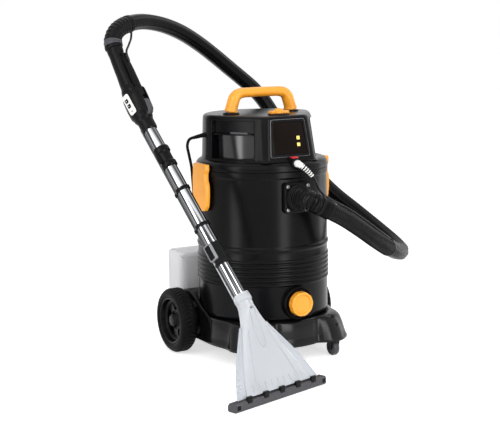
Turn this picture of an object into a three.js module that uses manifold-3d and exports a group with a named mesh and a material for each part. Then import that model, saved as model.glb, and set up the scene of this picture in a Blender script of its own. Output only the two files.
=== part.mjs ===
// A canister carpet washer: a wet and dry drum vacuum on wheels, with a clean-water
// tank, a spray pump, a hose with its own water tube, and a wand with a clear floor
// nozzle. Millimetres, +Z up. The machine is drawn round the drum's axis, its front
// faces -Y, and the last lines set the whole thing on the middle of its footprint.
import * as THREE from 'three';
import { mergeVertices } from 'three/addons/utils/BufferGeometryUtils.js';
import Module from 'manifold-3d';

const wasm = await Module();
wasm.setup();

// ---------------------------------------------------------------- driving dimensions

const SEAT_GAP = 0.3;            // between pieces that touch
const RUNNING_GAP = 0.5;         // round a turning or sliding piece
const FINEST_DETAIL = 0.03;      // facets flatter than this are merged

const DRUM_RADIUS = 180;
const DRUM_WALL = 3;
const DRUM_RIM_Z = 521;
const DRUM_BEAD_Z = 313;
const DRUM_RIB_TOP_Z = 280;
const DRUM_RIB_COUNT = 6;
const DRUM_RIB_PITCH = 12.5;
const DRUM_RIB_HEIGHT = 3;
const DRUM_TURN_FACETS = 24;

const BASE_SKIRT_Z = 45;
const BASE_DECK_Z = 118;
const BASE_WALL = 3.5;
const BASE_WIDTH = 2 * DRUM_RADIUS + 16;
const BASE_FRONT_RADIUS = DRUM_RADIUS + 10;
const BASE_REAR_Y = DRUM_RADIUS + 116;
const WELL_RADIUS = DRUM_RADIUS - 8;
const WELL_FLOOR_Z = 101;

const WHEEL_RADIUS = 90;
const WHEEL_WIDTH = 50;
const WHEEL_Y = 107;
const WHEEL_INNER_X = BASE_WIDTH / 2 + 7;
const HUMP_WIDTH = 42;
const AXLE_RADIUS = 6;
const TYRE_INNER_RADIUS = 66;
const HUB_CAP = 14;              // from the wheel's outer face in to the axle's end
const RIM_FACETS = 16;

const CASTER_RING = (DRUM_RADIUS + 31.8) / 211.8;
const CASTER_X = 125 * CASTER_RING;
const CASTER_Y = -171 * CASTER_RING;
const CASTER_WHEEL_RADIUS = 22;
const CASTER_WHEEL_WIDTH = 19;
const CASTER_TRAIL = 6;
const CASTER_STEM_RADIUS = 5;
const CASTER_TOP_Z = 56;

const DRAIN_Z = 167;
const DRAIN_BOSS_RADIUS = 44;
const DRAIN_BOSS_REACH = 12;
const DRAIN_CAP_RADIUS = 35;
const DRAIN_CAP_DEPTH = 20;
const DRAIN_BORE_RADIUS = 22;

const INLET_Z = 453;
const INLET_PLATE = 82;
const INLET_PLATE_DEPTH = 11;
const INLET_BORE_RADIUS = 19;
const INLET_COLLAR_RADIUS = 36;
const ELBOW_RADIUS = 28;
const ELBOW_REACH = 70;
const ELBOW_DIP = 28;            // degrees below level where the hose leaves

const HOSE_RIB_RADIUS = 23;
const HOSE_ROOT_RADIUS = 20.5;
const HOSE_BORE_RADIUS = 18;
const HOSE_RIB_PITCH = 8;
const SLEEVE_RADIUS = 22;
const RIBBED_LENGTH = 240;
const SLEEVE_STEPS = 24;
const CUFF_RADIUS = 27;
const CUFF_LENGTH = 42;

const HEAD_FLANGE_RADIUS = DRUM_RADIUS + 2.5;
const HEAD_SHOULDER_Z = DRUM_RIM_Z + 30.7;
const HEAD_DECK_Z = HEAD_SHOULDER_Z - 8.7;       // upper face of the motor deck
const HEAD_CEILING_Z = HEAD_DECK_Z - 5;          // its underside, over the drum
const FLOAT_HOLE_RADIUS = 72;
const HEAD_HEIGHT = 116.3;
const HEAD_TOP_Z = HEAD_SHOULDER_Z + HEAD_HEIGHT;
const HEAD_REAR_RADIUS = DRUM_RADIUS - 15;
const HEAD_WALL = 4;
const HEAD_TAPER = 4;
const CONSOLE_HALF_WIDTH = 80;
const CONSOLE_FRONT_Y = 23 - DRUM_RADIUS;
const CONSOLE_LEAN = 0.17;       // backward lean of the console per unit of height
const CONSOLE_NARROWING = 0.1;
const WINDOW_WIDTH_TOP = 90;
const WINDOW_WIDTH_FOOT = 106;
const WINDOW_FOOT_Z = HEAD_SHOULDER_Z + 15.3;
const WINDOW_TOP_Z = HEAD_TOP_Z - 17;
const WRAP_FOOT_Z = HEAD_SHOULDER_Z + 6.3;
const WRAP_TOP_Z = HEAD_TOP_Z - 42;
const WRAP_DEPTH = 13;
const HANDLE_SPAN = 186;
const HANDLE_TOP_Z = HEAD_TOP_Z + 74;
const HANDLE_GRIP_RADIUS = 13;
const HANDLE_POST_SPREAD = 12;
const KNOB_LENGTH = 56;
const KNOB_Y = -96;
const KNOB_DISC_RADIUS = 31;

const MOTOR_RADIUS = HEAD_REAR_RADIUS - 107;
const MOTOR_HEIGHT = 104;
const FAN_HOUSING_RADIUS = MOTOR_RADIUS + 18;
const CAGE_RADIUS = 74;
const CAGE_HEIGHT = 130;
const FLOAT_RADIUS = 27;

const LATCH_WIDTH = 78;
const LATCH_TOP_Z = DRUM_RIM_Z + 25;
const LATCH_FOOT_Z = DRUM_RIM_Z - 109;
const LATCH_THICKNESS = 16;
const LATCH_WALL = 3;
const LATCH_PIN_RADIUS = 3;
const LATCH_PIVOT_Z = DRUM_RIM_Z + 13;
const LATCH_PIVOT_X = HEAD_FLANGE_RADIUS + 7;
const CATCH_HALF_WIDTH = 20;
const CATCH_Z = LATCH_FOOT_Z + 24;

const COUPLING_Z = HEAD_SHOULDER_Z - 5;
const COUPLING_FACE_Y = -DRUM_RADIUS - 6;
const COUPLING_RADIUS = 10;
const LAMP_HEIGHTS = [WINDOW_FOOT_Z + 26, WINDOW_FOOT_Z + 45];
const LAMP_X = 25;
const LAMP_SIZE = 10;

const TANK_HALF_WIDTH = 160;
const TANK_FRONT_Y = DRUM_RADIUS + 10;
const TANK_REAR_Y = TANK_FRONT_Y + 100;
const TANK_TOP_Z = 260;
const TANK_WALL = 3;
const TANK_CAP_X = 100;
const TANK_CAP_RADIUS = 29;
const TANK_NECK_RADIUS = 24;

const WAND_FOOT = new THREE.Vector2(-208.8, -431.6);
const WAND_TURN = 17.2;          // degrees that the nozzle bar is turned from +X
const WAND_RISE = 51.25;         // degrees of the tube above the floor
const NECK_REACH = 117;          // from the bar back to the nozzle's neck
const NECK_Z = 229.6;
const NECK_SOCKET = 32;          // how far the tube's socket reaches down from the neck
const TUBE_RADIUS = 17.5;
const TUBE_WALL = 1.8;
const INNER_TUBE_RADIUS = 15.2;
const INNER_TUBE_WALL = 1.5;
const OUTER_TUBE_START = 115;
const OUTER_TUBE_END = 412;
const INNER_TUBE_OVERLAP = 210;
const UPPER_TUBE_END = 535;
const LOCK_SLEEVE_LENGTH = 62;
const LOCK_SLEEVE_RADIUS = 21.5;
const GRIP_START = 524;
const GRIP_TOP = 772;
const GRIP_RADIUS = 21;
const PIPE_RADIUS = 4;
const PIPE_BORE_RADIUS = 2.9;
const SPRAY_PIPE_RADIUS = 2.5;
const PIPE_OFFSET = 27;
const BAR_LENGTH = 332;
const BAR_DEPTH = 30;
const BAR_HEIGHT = 25;
const BAR_LUGS = 5;
const FAN_WIDTH = 292;
const FAN_WALL = 2.5;

const LEAD_RADIUS = 4;
const LEAD_COIL_RADIUS = 48;
const LEAD_COIL_PITCH = 9.45;
const LEAD_COIL_LAYERS = 4;
const LEAD_TURNS_PER_LAYER = 3;
const LEAD_COIL_CENTRE = new THREE.Vector2(120, 434);
const LEAD_IN = 14;
const WATER_TUBE_RADIUS = 3;

// -------------------------------------------------------------------------- colours

function finish(color, roughness, metalness = 0) {
  return new THREE.MeshStandardMaterial({ color, roughness, metalness });
}

const BLACK_GLOSS = 0x1c1c1e;
const BLACK_MATT = 0x232326;
const YELLOW = 0xf8a838;
const CHROME = 0xd8d8dc;
const STEEL = 0x9a9a9e;
const MILKY = 0xc9c9cc;
const CLEAR = 0xdce0e8;
const GREY = 0x4a484d;
const WHITE = 0xf2f2f0;
const RED = 0xc8303a;
const WINDOW_BROWN = 0x17130f;
const LAMP_YELLOW = 0xffe070;
const BUTTON_GREY = 0x8b8b90;
const FOAM_GREY = 0x8a8c92;

// --------------------------------------------------------------------------- helpers

const DEG = Math.PI / 180;
const X_AXIS = new THREE.Vector3(1, 0, 0);
const Z_AXIS = new THREE.Vector3(0, 0, 1);
const SIDES = [['left', -1], ['right', 1]];

function v3(x, y, z) {
  return new THREE.Vector3(x, y, z);
}

// Keeps position only, merges shared corners and turns the faces outward.
function welded(geometry) {
  const bare = geometry.clone();
  for (const name of Object.keys(bare.attributes)) {
    if (name !== 'position') bare.deleteAttribute(name);
  }
  const merged = mergeVertices(bare, 1e-4);
  const points = merged.attributes.position;
  const index = Array.from(merged.index.array);
  let volume = 0;
  const [a, b, c] = [v3(), v3(), v3()];
  for (let i = 0; i < index.length; i += 3) {
    a.fromBufferAttribute(points, index[i]);
    b.fromBufferAttribute(points, index[i + 1]);
    c.fromBufferAttribute(points, index[i + 2]);
    volume += a.dot(b.clone().cross(c)) / 6;
  }
  if (volume < 0) index.reverse();
  const kept = [];
  for (let i = 0; i < index.length; i += 3) {
    const [p, q, r] = index.slice(i, i + 3);
    if (p !== q && q !== r && r !== p) kept.push(p, q, r);
  }
  merged.setIndex(kept);
  return merged;
}

function solid(geometry) {
  const mesh = welded(geometry);
  return new wasm.Manifold(new wasm.Mesh({
    numProp: 3,
    vertProperties: new Float32Array(mesh.attributes.position.array),
    triVerts: new Uint32Array(mesh.index.array),
  }));
}

function toGeometry(manifold) {
  const mesh = manifold.asOriginal().simplify(FINEST_DETAIL).getMesh();
  const geometry = new THREE.BufferGeometry();
  geometry.setAttribute('position', new THREE.BufferAttribute(mesh.vertProperties.slice(), 3));
  geometry.setIndex(Array.from(mesh.triVerts));
  return geometry;
}

// Joins the first list of shapes and cuts the second list out of them.
function carve(joined, removed = []) {
  let result = solid(joined[0]);
  for (const shape of joined.slice(1)) result = result.add(solid(shape));
  for (const shape of removed) result = result.subtract(solid(shape));
  return toGeometry(result);
}

// A revolve round Z of [radius, height] points; `ring` closes it on itself.
function revolve(points, { ring = false, facets = 16 } = {}) {
  const profile = points.map(([r, z]) => new THREE.Vector2(r, z));
  if (ring) profile.push(profile[0].clone());
  return new THREE.LatheGeometry(profile, facets).rotateX(Math.PI / 2);
}

function rod(radius, length, facets = 14) {
  return new THREE.CylinderGeometry(radius, radius, length, facets).rotateX(Math.PI / 2);
}

// A tube standing on z = 0.
function pipe(outer, inner, length, facets = 16) {
  return revolve([[inner, 0], [outer, 0], [outer, length], [inner, length]], { ring: true, facets });
}

function box(x, y, z) {
  return new THREE.BoxGeometry(x, y, z);
}

function polygon(points) {
  return new THREE.Shape(points.map(([x, y]) => new THREE.Vector2(x, y)));
}

function roundedRect(width, height, radius) {
  const [w, h] = [width / 2, height / 2];
  const shape = new THREE.Shape();
  shape.moveTo(-w + radius, -h);
  shape.lineTo(w - radius, -h);
  shape.absarc(w - radius, -h + radius, radius, -Math.PI / 2, 0);
  shape.lineTo(w, h - radius);
  shape.absarc(w - radius, h - radius, radius, 0, Math.PI / 2);
  shape.lineTo(-w + radius, h);
  shape.absarc(-w + radius, h - radius, radius, Math.PI / 2, Math.PI);
  shape.lineTo(-w, -h + radius);
  shape.absarc(-w + radius, -h + radius, radius, Math.PI, Math.PI * 1.5);
  return shape;
}

function plate(shape, depth, curveSegments = 3) {
  return new THREE.ExtrudeGeometry(shape, { depth, bevelEnabled: false, curveSegments });
}

// A skin over closed rings of equal length. `loop` joins the last ring to the first,
// otherwise both ends are capped by fans.
function loft(rings, { loop = false } = {}) {
  const count = rings[0].length;
  const positions = rings.flat().flatMap((p) => [p.x, p.y, p.z]);
  const index = [];
  const bands = loop ? rings.length : rings.length - 1;
  for (let i = 0; i < bands; i += 1) {
    const next = (i + 1) % rings.length;
    for (let k = 0; k < count; k += 1) {
      const side = (k + 1) % count;
      const [a, b] = [i * count + k, i * count + side];
      const [c, d] = [next * count + k, next * count + side];
      index.push(a, b, d, a, d, c);
    }
  }
  if (!loop) {
    for (const end of [0, rings.length - 1]) {
      const middle = rings[end].reduce((sum, p) => sum.add(p), v3(0, 0, 0)).divideScalar(count);
      const apex = positions.length / 3;
      positions.push(middle.x, middle.y, middle.z);
      for (let k = 0; k < count; k += 1) {
        const [a, b] = [end * count + k, end * count + ((k + 1) % count)];
        if (end === 0) index.push(apex, b, a);
        else index.push(apex, a, b);
      }
    }
  }
  const geometry = new THREE.BufferGeometry();
  geometry.setAttribute('position', new THREE.Float32BufferAttribute(positions, 3));
  geometry.setIndex(index);
  return geometry;
}

// Frames that follow a curve without twisting, one for each parameter in `steps`.
function framesAt(curve, steps) {
  const frames = [];
  let side = null;
  for (const t of steps) {
    const ahead = curve.getTangent(t);
    if (side === null) {
      side = Math.abs(ahead.z) < 0.9 ? Z_AXIS.clone() : X_AXIS.clone();
    }
    side = side.clone().addScaledVector(ahead, -side.dot(ahead)).normalize();
    frames.push({ point: curve.getPoint(t), side, other: ahead.clone().cross(side), ahead });
  }
  return frames;
}

// The same, one for each distance in `stops`.
function framesAlong(curve, stops) {
  const length = curve.getLength();
  const share = (stop) => THREE.MathUtils.clamp(stop / length, 0, 1);
  return framesAt(curve, stops.map((stop) => curve.getUtoTmapping(share(stop))));
}

function ringOn(frame, a, b, sides) {
  return Array.from({ length: sides }, (_, k) => {
    const turn = (k / sides) * 2 * Math.PI;
    return frame.point.clone()
      .addScaledVector(frame.side, a * Math.cos(turn))
      .addScaledVector(frame.other, b * Math.sin(turn));
  });
}

// A round bar along a curve whose radius follows `stations` of [distance, radius].
// With a bore it is a pipe, and the bore has a ring at every `boreEvery`-th station.
function sweep(curve, stations, sides, bore = 0, boreEvery = 1) {
  const frames = framesAlong(curve, stations.map(([at]) => at));
  const outer = frames.map((frame, i) => ringOn(frame, stations[i][1], stations[i][1], sides));
  if (!bore) return loft(outer);
  const last = frames.length - 1;
  const inner = frames
    .filter((_, i) => i % boreEvery === 0 || i === last)
    .map((frame) => ringOn(frame, bore, bore, sides));
  return loft([...outer, ...inner.reverse()], { loop: true });
}

// An extruded round section along a curve, solid or with a bore.
function tubeAlong(curve, radius, sides, steps, bore = 0) {
  const section = polygon(circlePoints(radius, sides));
  if (bore) section.holes.push(polygon(circlePoints(bore, sides)));
  return new THREE.ExtrudeGeometry(section, { steps, extrudePath: curve, bevelEnabled: false });
}

function circlePoints(radius, sides) {
  return Array.from({ length: sides }, (_, k) => {
    const turn = (k / sides) * 2 * Math.PI;
    return [radius * Math.cos(turn), radius * Math.sin(turn)];
  });
}

function throughPoints(points) {
  return new THREE.CatmullRomCurve3(points, false, 'centripetal');
}

function add(parent, name, geometry, material, position = [0, 0, 0], rotation = [0, 0, 0]) {
  const mesh = new THREE.Mesh(welded(geometry), material);
  mesh.name = name;
  mesh.position.set(...position);
  mesh.rotation.set(...rotation);
  parent.add(mesh);
  return mesh;
}

const machine = new THREE.Group();

// ------------------------------------------------------------------------------ base

// Plan outline of the base: round in front with a lobe over each caster, straight
// sides, rounded rear corners. `grow` offsets it.
const LOBE = [[-68, 0], [-64, 16], [-59, 34], [-52, 43], [-44, 45], [-36, 44], [-30, 36], [-25, 22]];

function basePlan(grow) {
  const half = BASE_WIDTH / 2 + grow;
  const front = BASE_FRONT_RADIUS + grow;
  const rear = BASE_REAR_Y + grow;
  const corner = 28;
  const at = (degrees, radius) => v3(radius * Math.cos(degrees * DEG), radius * Math.sin(degrees * DEG), 0);
  const right = [];
  for (const turn of [90, 60, 30, 0]) {
    right.push(at(turn, corner).add(v3(half - corner, rear - corner, 0)));
  }
  right.push(v3(half, -50, 0));
  for (const [turn, out] of [...LOBE].reverse()) right.push(at(turn, front + out));
  right.push(at(-75, front), at(-84, front));
  return [...right, ...right.map((p) => v3(-p.x, p.y, 0)).reverse()];
}

function baseLayer(z, grow) {
  return basePlan(grow).map((p) => v3(p.x, p.y, z));
}

// The hump beside each rear wheel, drawn in the Y-Z plane and extruded along X.
function wheelHump(inset, floorZ) {
  const top = WHEEL_RADIUS * 2 - 6 - inset;
  const outline = [[-50 + inset, floorZ], [-30 + inset, BASE_DECK_Z + 1 - inset], [10, 134 - inset]];
  const crown = [WHEEL_Y - 44, WHEEL_Y, WHEEL_Y + 44];
  outline.push([crown[0], top - 12], [crown[1], top], [crown[2], top - 12]);
  outline.push([TANK_FRONT_Y - 4 - inset, BASE_DECK_Z + 8 - inset], [TANK_FRONT_Y - 2 - inset, floorZ]);
  return polygon(outline);
}

function addBase() {
  const flare = 3;
  const shell = loft([
    baseLayer(BASE_SKIRT_Z, flare),
    baseLayer(BASE_SKIRT_Z + 8, flare),
    baseLayer(BASE_DECK_Z - 12, -2),
    baseLayer(BASE_DECK_Z, -10),
  ]);
  const hollow = loft([
    baseLayer(BASE_SKIRT_Z - 1, flare - BASE_WALL),
    baseLayer(BASE_SKIRT_Z + 8, flare - BASE_WALL),
    baseLayer(BASE_DECK_Z - 12 - BASE_WALL, -2 - BASE_WALL),
    baseLayer(BASE_DECK_Z - BASE_WALL, -10),
  ]);
  const humpInnerX = BASE_WIDTH / 2 - HUMP_WIDTH;
  const humps = SIDES.map(([, side]) => plate(wheelHump(0, BASE_SKIRT_Z + 30), HUMP_WIDTH)
    .rotateX(Math.PI / 2).rotateZ(Math.PI / 2)
    .translate(side > 0 ? humpInnerX : -BASE_WIDTH / 2, 0, 0));
  const humpHollows = SIDES.map(([, side]) => plate(wheelHump(BASE_WALL, BASE_SKIRT_Z), HUMP_WIDTH)
    .rotateX(Math.PI / 2).rotateZ(Math.PI / 2)
    .translate(side > 0 ? humpInnerX - BASE_WALL : -BASE_WIDTH / 2 + BASE_WALL, 0, 0));
  const drumSpace = rod(DRUM_RADIUS + DRUM_RIB_HEIGHT + 1, 200, 32).translate(0, 0, BASE_DECK_Z + 100);
  const well = rod(WELL_RADIUS, 60, DRUM_TURN_FACETS).translate(0, 0, WELL_FLOOR_Z + 30);
  const wellCup = rod(WELL_RADIUS + BASE_WALL, BASE_DECK_Z - WELL_FLOOR_Z + BASE_WALL - 1, DRUM_TURN_FACETS)
    .translate(0, 0, (BASE_DECK_Z + WELL_FLOOR_Z - BASE_WALL - 1) / 2);
  const axleTunnel = rod(AXLE_RADIUS + RUNNING_GAP, BASE_WIDTH + 40).rotateY(Math.PI / 2)
    .translate(0, WHEEL_Y, WHEEL_RADIUS);
  const axleBosses = SIDES.map(([, side]) => rod(AXLE_RADIUS + 6, 40, 10).rotateY(Math.PI / 2)
    .translate(side * (BASE_WIDTH / 2 - 22), WHEEL_Y, WHEEL_RADIUS));
  const casterBosses = SIDES.map(([, side]) => rod(15, BASE_DECK_Z - CASTER_TOP_Z - 4, 12)
    .translate(side * CASTER_X, CASTER_Y, (BASE_DECK_Z - 4 + CASTER_TOP_Z) / 2));
  const casterSockets = SIDES.map(([, side]) => rod(CASTER_STEM_RADIUS + RUNNING_GAP + 0.3, 60, 10)
    .translate(side * CASTER_X, CASTER_Y, CASTER_TOP_Z + 8));
  const cavity = solid(hollow);
  let inside = cavity.subtract(solid(wellCup));
  for (const shape of humpHollows) inside = inside.add(solid(shape).subtract(solid(wellCup)));
  for (const shape of [...axleBosses, ...casterBosses]) inside = inside.subtract(solid(shape));
  let body = solid(shell);
  for (const shape of humps) body = body.add(solid(shape).subtract(solid(drumSpace)));
  body = body.subtract(inside).subtract(solid(well)).subtract(solid(axleTunnel));
  for (const shape of casterSockets) body = body.subtract(solid(shape));
  add(machine, 'base_platform', toGeometry(body), finish(BLACK_GLOSS, 0.35));

  const axleLength = 2 * (WHEEL_INNER_X + WHEEL_WIDTH - HUB_CAP - RUNNING_GAP);
  add(machine, 'rear_axle', rod(AXLE_RADIUS, axleLength, 16), finish(STEEL, 0.3, 1),
    [0, WHEEL_Y, WHEEL_RADIUS], [0, Math.PI / 2, 0]);
}

// ------------------------------------------------------------------------ rear wheels

function wheelRim() {
  const [hubRadius, spokeRadius] = [20, TYRE_INNER_RADIUS - 7];
  const half = WHEEL_WIDTH / 2;
  const body = revolve([
    [AXLE_RADIUS + RUNNING_GAP, -half + 4], [hubRadius, -half + 4], [hubRadius, -4],
    [spokeRadius, -4], [spokeRadius, -half + 6], [TYRE_INNER_RADIUS, -half + 6],
    [TYRE_INNER_RADIUS, half - 4], [spokeRadius, half - 4], [spokeRadius - 5, 4],
    [hubRadius + 3, 4], [hubRadius - 2, half - 9], [hubRadius - 8, half - 7], [0, half - 7],
    [0, half - HUB_CAP], [AXLE_RADIUS + RUNNING_GAP, half - HUB_CAP],
  ], { ring: true, facets: RIM_FACETS });
  const windows = [];
  for (let k = 0; k < 5; k += 1) {
    const slot = new THREE.Shape();
    slot.absarc(0, 0, spokeRadius - 8, -19 * DEG, 19 * DEG, false);
    slot.absarc(0, 0, hubRadius + 8, 10 * DEG, -10 * DEG, true);
    windows.push(plate(slot, 40, 3).translate(0, 0, -20).rotateZ(k * 72 * DEG));
  }
  return carve([body], windows);
}

function tyre() {
  const half = WHEEL_WIDTH / 2;
  const inner = TYRE_INNER_RADIUS + SEAT_GAP;
  return revolve([
    [inner, -half + 3], [inner + 8, -half], [WHEEL_RADIUS - 8, -half + 2], [WHEEL_RADIUS, -half + 12],
    [WHEEL_RADIUS, half - 12], [WHEEL_RADIUS - 8, half - 2], [inner + 8, half], [inner, half - 3],
  ], { ring: true, facets: RIM_FACETS });
}

function addWheels() {
  for (const [side, sign] of SIDES) {
    const at = [sign * (WHEEL_INNER_X + WHEEL_WIDTH / 2), WHEEL_Y, WHEEL_RADIUS];
    const turned = [0, sign * Math.PI / 2, 0];
    add(machine, `wheel_${side}`, wheelRim(), finish(BLACK_MATT, 0.45), at, turned);
    add(machine, `tyre_${side}`, tyre(), finish(BLACK_MATT, 0.8), at, turned);
  }
}

// ---------------------------------------------------------------------- front casters

function casterFork() {
  const half = CASTER_WHEEL_WIDTH / 2 + RUNNING_GAP;
  const cheek = 3;
  const plateZ = CASTER_TOP_Z - SEAT_GAP;
  const cheekShape = new THREE.Shape();
  cheekShape.moveTo(-10, plateZ);
  cheekShape.lineTo(-8 + CASTER_TRAIL, CASTER_WHEEL_RADIUS - 5);
  cheekShape.absarc(CASTER_TRAIL, CASTER_WHEEL_RADIUS, 8, -130 * DEG, -50 * DEG, false);
  cheekShape.lineTo(10, plateZ);
  const cheeks = [-half - cheek, half].map((x) => plate(cheekShape, cheek, 3)
    .rotateX(Math.PI / 2).rotateZ(Math.PI / 2).translate(x, 0, 0));
  const crown = rod(16, 5, 12).translate(0, 0, plateZ - 2.5);
  const stem = rod(CASTER_STEM_RADIUS, 28, 10).translate(0, 0, plateZ + 12);
  const axle = rod(3, 2 * (half + cheek), 8).rotateY(Math.PI / 2)
    .translate(0, CASTER_TRAIL, CASTER_WHEEL_RADIUS);
  return carve([crown, ...cheeks, stem, axle]);
}

function casterWheel() {
  const half = CASTER_WHEEL_WIDTH / 2;
  return revolve([
    [3 + RUNNING_GAP, -half], [9, -half], [12, -half + 3], [18, -half],
    [CASTER_WHEEL_RADIUS, -half + 5], [CASTER_WHEEL_RADIUS, half - 5], [18, half],
    [12, half - 3], [9, half], [3 + RUNNING_GAP, half],
  ], { ring: true, facets: 12 });
}

function addCasters() {
  for (const [side, sign] of SIDES) {
    const caster = new THREE.Group();
    caster.position.set(sign * CASTER_X, CASTER_Y, 0);
    machine.add(caster);
    add(caster, `caster_fork_${side}`, casterFork(), finish(BLACK_GLOSS, 0.4));
    add(caster, `caster_wheel_${side}`, casterWheel(), finish(GREY, 0.5),
      [0, CASTER_TRAIL, CASTER_WHEEL_RADIUS], [0, Math.PI / 2, 0]);
  }
}

// ------------------------------------------------------------------------------ drum

const DRUM_FOOT_Z = WELL_FLOOR_Z + SEAT_GAP;
const DRUM_FOOT_RADIUS = WELL_RADIUS - 1;

function drumProfile() {
  const inner = DRUM_RADIUS - DRUM_WALL;
  const ribs = [];
  const lowest = DRUM_RIB_TOP_Z - (DRUM_RIB_COUNT - 1) * DRUM_RIB_PITCH;
  for (let k = 0; k < DRUM_RIB_COUNT; k += 1) {
    const z = lowest + k * DRUM_RIB_PITCH;
    ribs.push([DRUM_RADIUS, z - DRUM_RIB_PITCH / 2], [DRUM_RADIUS + DRUM_RIB_HEIGHT, z]);
  }
  return [
    [0, DRUM_FOOT_Z], [DRUM_FOOT_RADIUS - 6, DRUM_FOOT_Z], [DRUM_FOOT_RADIUS, DRUM_FOOT_Z + 6],
    [DRUM_FOOT_RADIUS, BASE_DECK_Z + 1], [DRUM_RADIUS - 2, BASE_DECK_Z + 5],
    [DRUM_RADIUS, BASE_DECK_Z + 12], ...ribs, [DRUM_RADIUS, DRUM_RIB_TOP_Z + DRUM_RIB_PITCH / 2],
    [DRUM_RADIUS, DRUM_BEAD_Z - 7], [DRUM_RADIUS + 3, DRUM_BEAD_Z],
    [DRUM_RADIUS, DRUM_BEAD_Z + 7],
    [DRUM_RADIUS, DRUM_RIM_Z - 18], [DRUM_RADIUS + 2, DRUM_RIM_Z - 14], [DRUM_RADIUS + 2, DRUM_RIM_Z],
    [inner, DRUM_RIM_Z], [inner, DRUM_FOOT_Z + 22], [DRUM_FOOT_RADIUS - DRUM_WALL - 3, DRUM_FOOT_Z + 9],
    [DRUM_FOOT_RADIUS - DRUM_WALL - 9, DRUM_FOOT_Z + DRUM_WALL], [0, DRUM_FOOT_Z + DRUM_WALL],
  ];
}

function addDrum() {
  const shell = revolve(drumProfile(), { facets: DRUM_TURN_FACETS });
  const bossFace = -DRUM_RADIUS - DRAIN_BOSS_REACH;
  const boss = revolve([
    [0, 0], [DRAIN_BOSS_RADIUS + 4, 0], [DRAIN_BOSS_RADIUS, 26], [DRAIN_CAP_RADIUS + 5, 34],
    [0, 34],
  ], { facets: 16 }).rotateX(Math.PI / 2).translate(0, bossFace + 34, DRAIN_Z);
  const inside = rod(DRUM_RADIUS - DRUM_WALL, 320, DRUM_TURN_FACETS)
    .rotateZ(Math.PI / DRUM_TURN_FACETS).translate(0, 0, DRUM_FOOT_Z + 182);
  const drain = rod(DRAIN_BORE_RADIUS, 80, 16).rotateX(Math.PI / 2).translate(0, bossFace + 20, DRAIN_Z);
  const inlet = rod(INLET_BORE_RADIUS + 5, 80).rotateX(Math.PI / 2)
    .translate(0, -DRUM_RADIUS, INLET_Z);
  const catches = SIDES.map(([, side]) => box(10, 2 * CATCH_HALF_WIDTH, 12)
    .translate(side * (DRUM_RADIUS - 1.5), 0, CATCH_Z));
  const trimmed = [boss, ...catches].map((shape) => solid(shape).subtract(solid(inside)));
  let body = solid(shell);
  for (const piece of trimmed) body = body.add(piece);
  body = body.subtract(solid(drain)).subtract(solid(inlet));
  add(machine, 'drum', toGeometry(body), finish(BLACK_GLOSS, 0.3));

  const cap = new THREE.Group();
  cap.position.set(0, bossFace, DRAIN_Z);
  cap.rotation.set(Math.PI / 2, 0, 0);
  machine.add(cap);
  add(cap, 'drain_cap', drainCap(), finish(YELLOW, 0.4));
}

// The cap's face looks along the group's +Z; its spigot goes into the drain.
function drainCap() {
  const r = DRAIN_CAP_RADIUS;
  const spigot = DRAIN_BORE_RADIUS - RUNNING_GAP;
  const body = revolve([
    [0, DRAIN_CAP_DEPTH - 2], [r - 9, DRAIN_CAP_DEPTH - 2], [r - 7, DRAIN_CAP_DEPTH],
    [r - 2, DRAIN_CAP_DEPTH], [r, DRAIN_CAP_DEPTH - 3], [r, SEAT_GAP], [spigot, SEAT_GAP],
    [spigot, -16], [spigot - 3, -18], [spigot - 5, -18], [spigot - 5, 4], [0, 4],
  ], { facets: 16 });
  const flutes = Array.from({ length: 6 }, (_, k) => rod(3, 40, 5)
    .translate(r + 1, 0, 12).rotateZ(k * 60 * DEG));
  return carve([body], flutes);
}

// --------------------------------------------------------------- inlet, elbow, hoses

const INLET_FACE_Y = -DRUM_RADIUS - INLET_PLATE_DEPTH;
const COLLAR_FACE_Y = INLET_FACE_Y - 12;
const ELBOW_CORNER = v3(0, -DRUM_RADIUS - 70, INLET_Z);
const HOSE_START_DIRECTION = v3(Math.cos(ELBOW_DIP * DEG), 0, -Math.sin(ELBOW_DIP * DEG));
const CUFF_START = ELBOW_CORNER.clone().addScaledVector(HOSE_START_DIRECTION, ELBOW_REACH - CUFF_LENGTH);
const HOSE_START = ELBOW_CORNER.clone().addScaledVector(HOSE_START_DIRECTION, ELBOW_REACH + SEAT_GAP);

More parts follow.
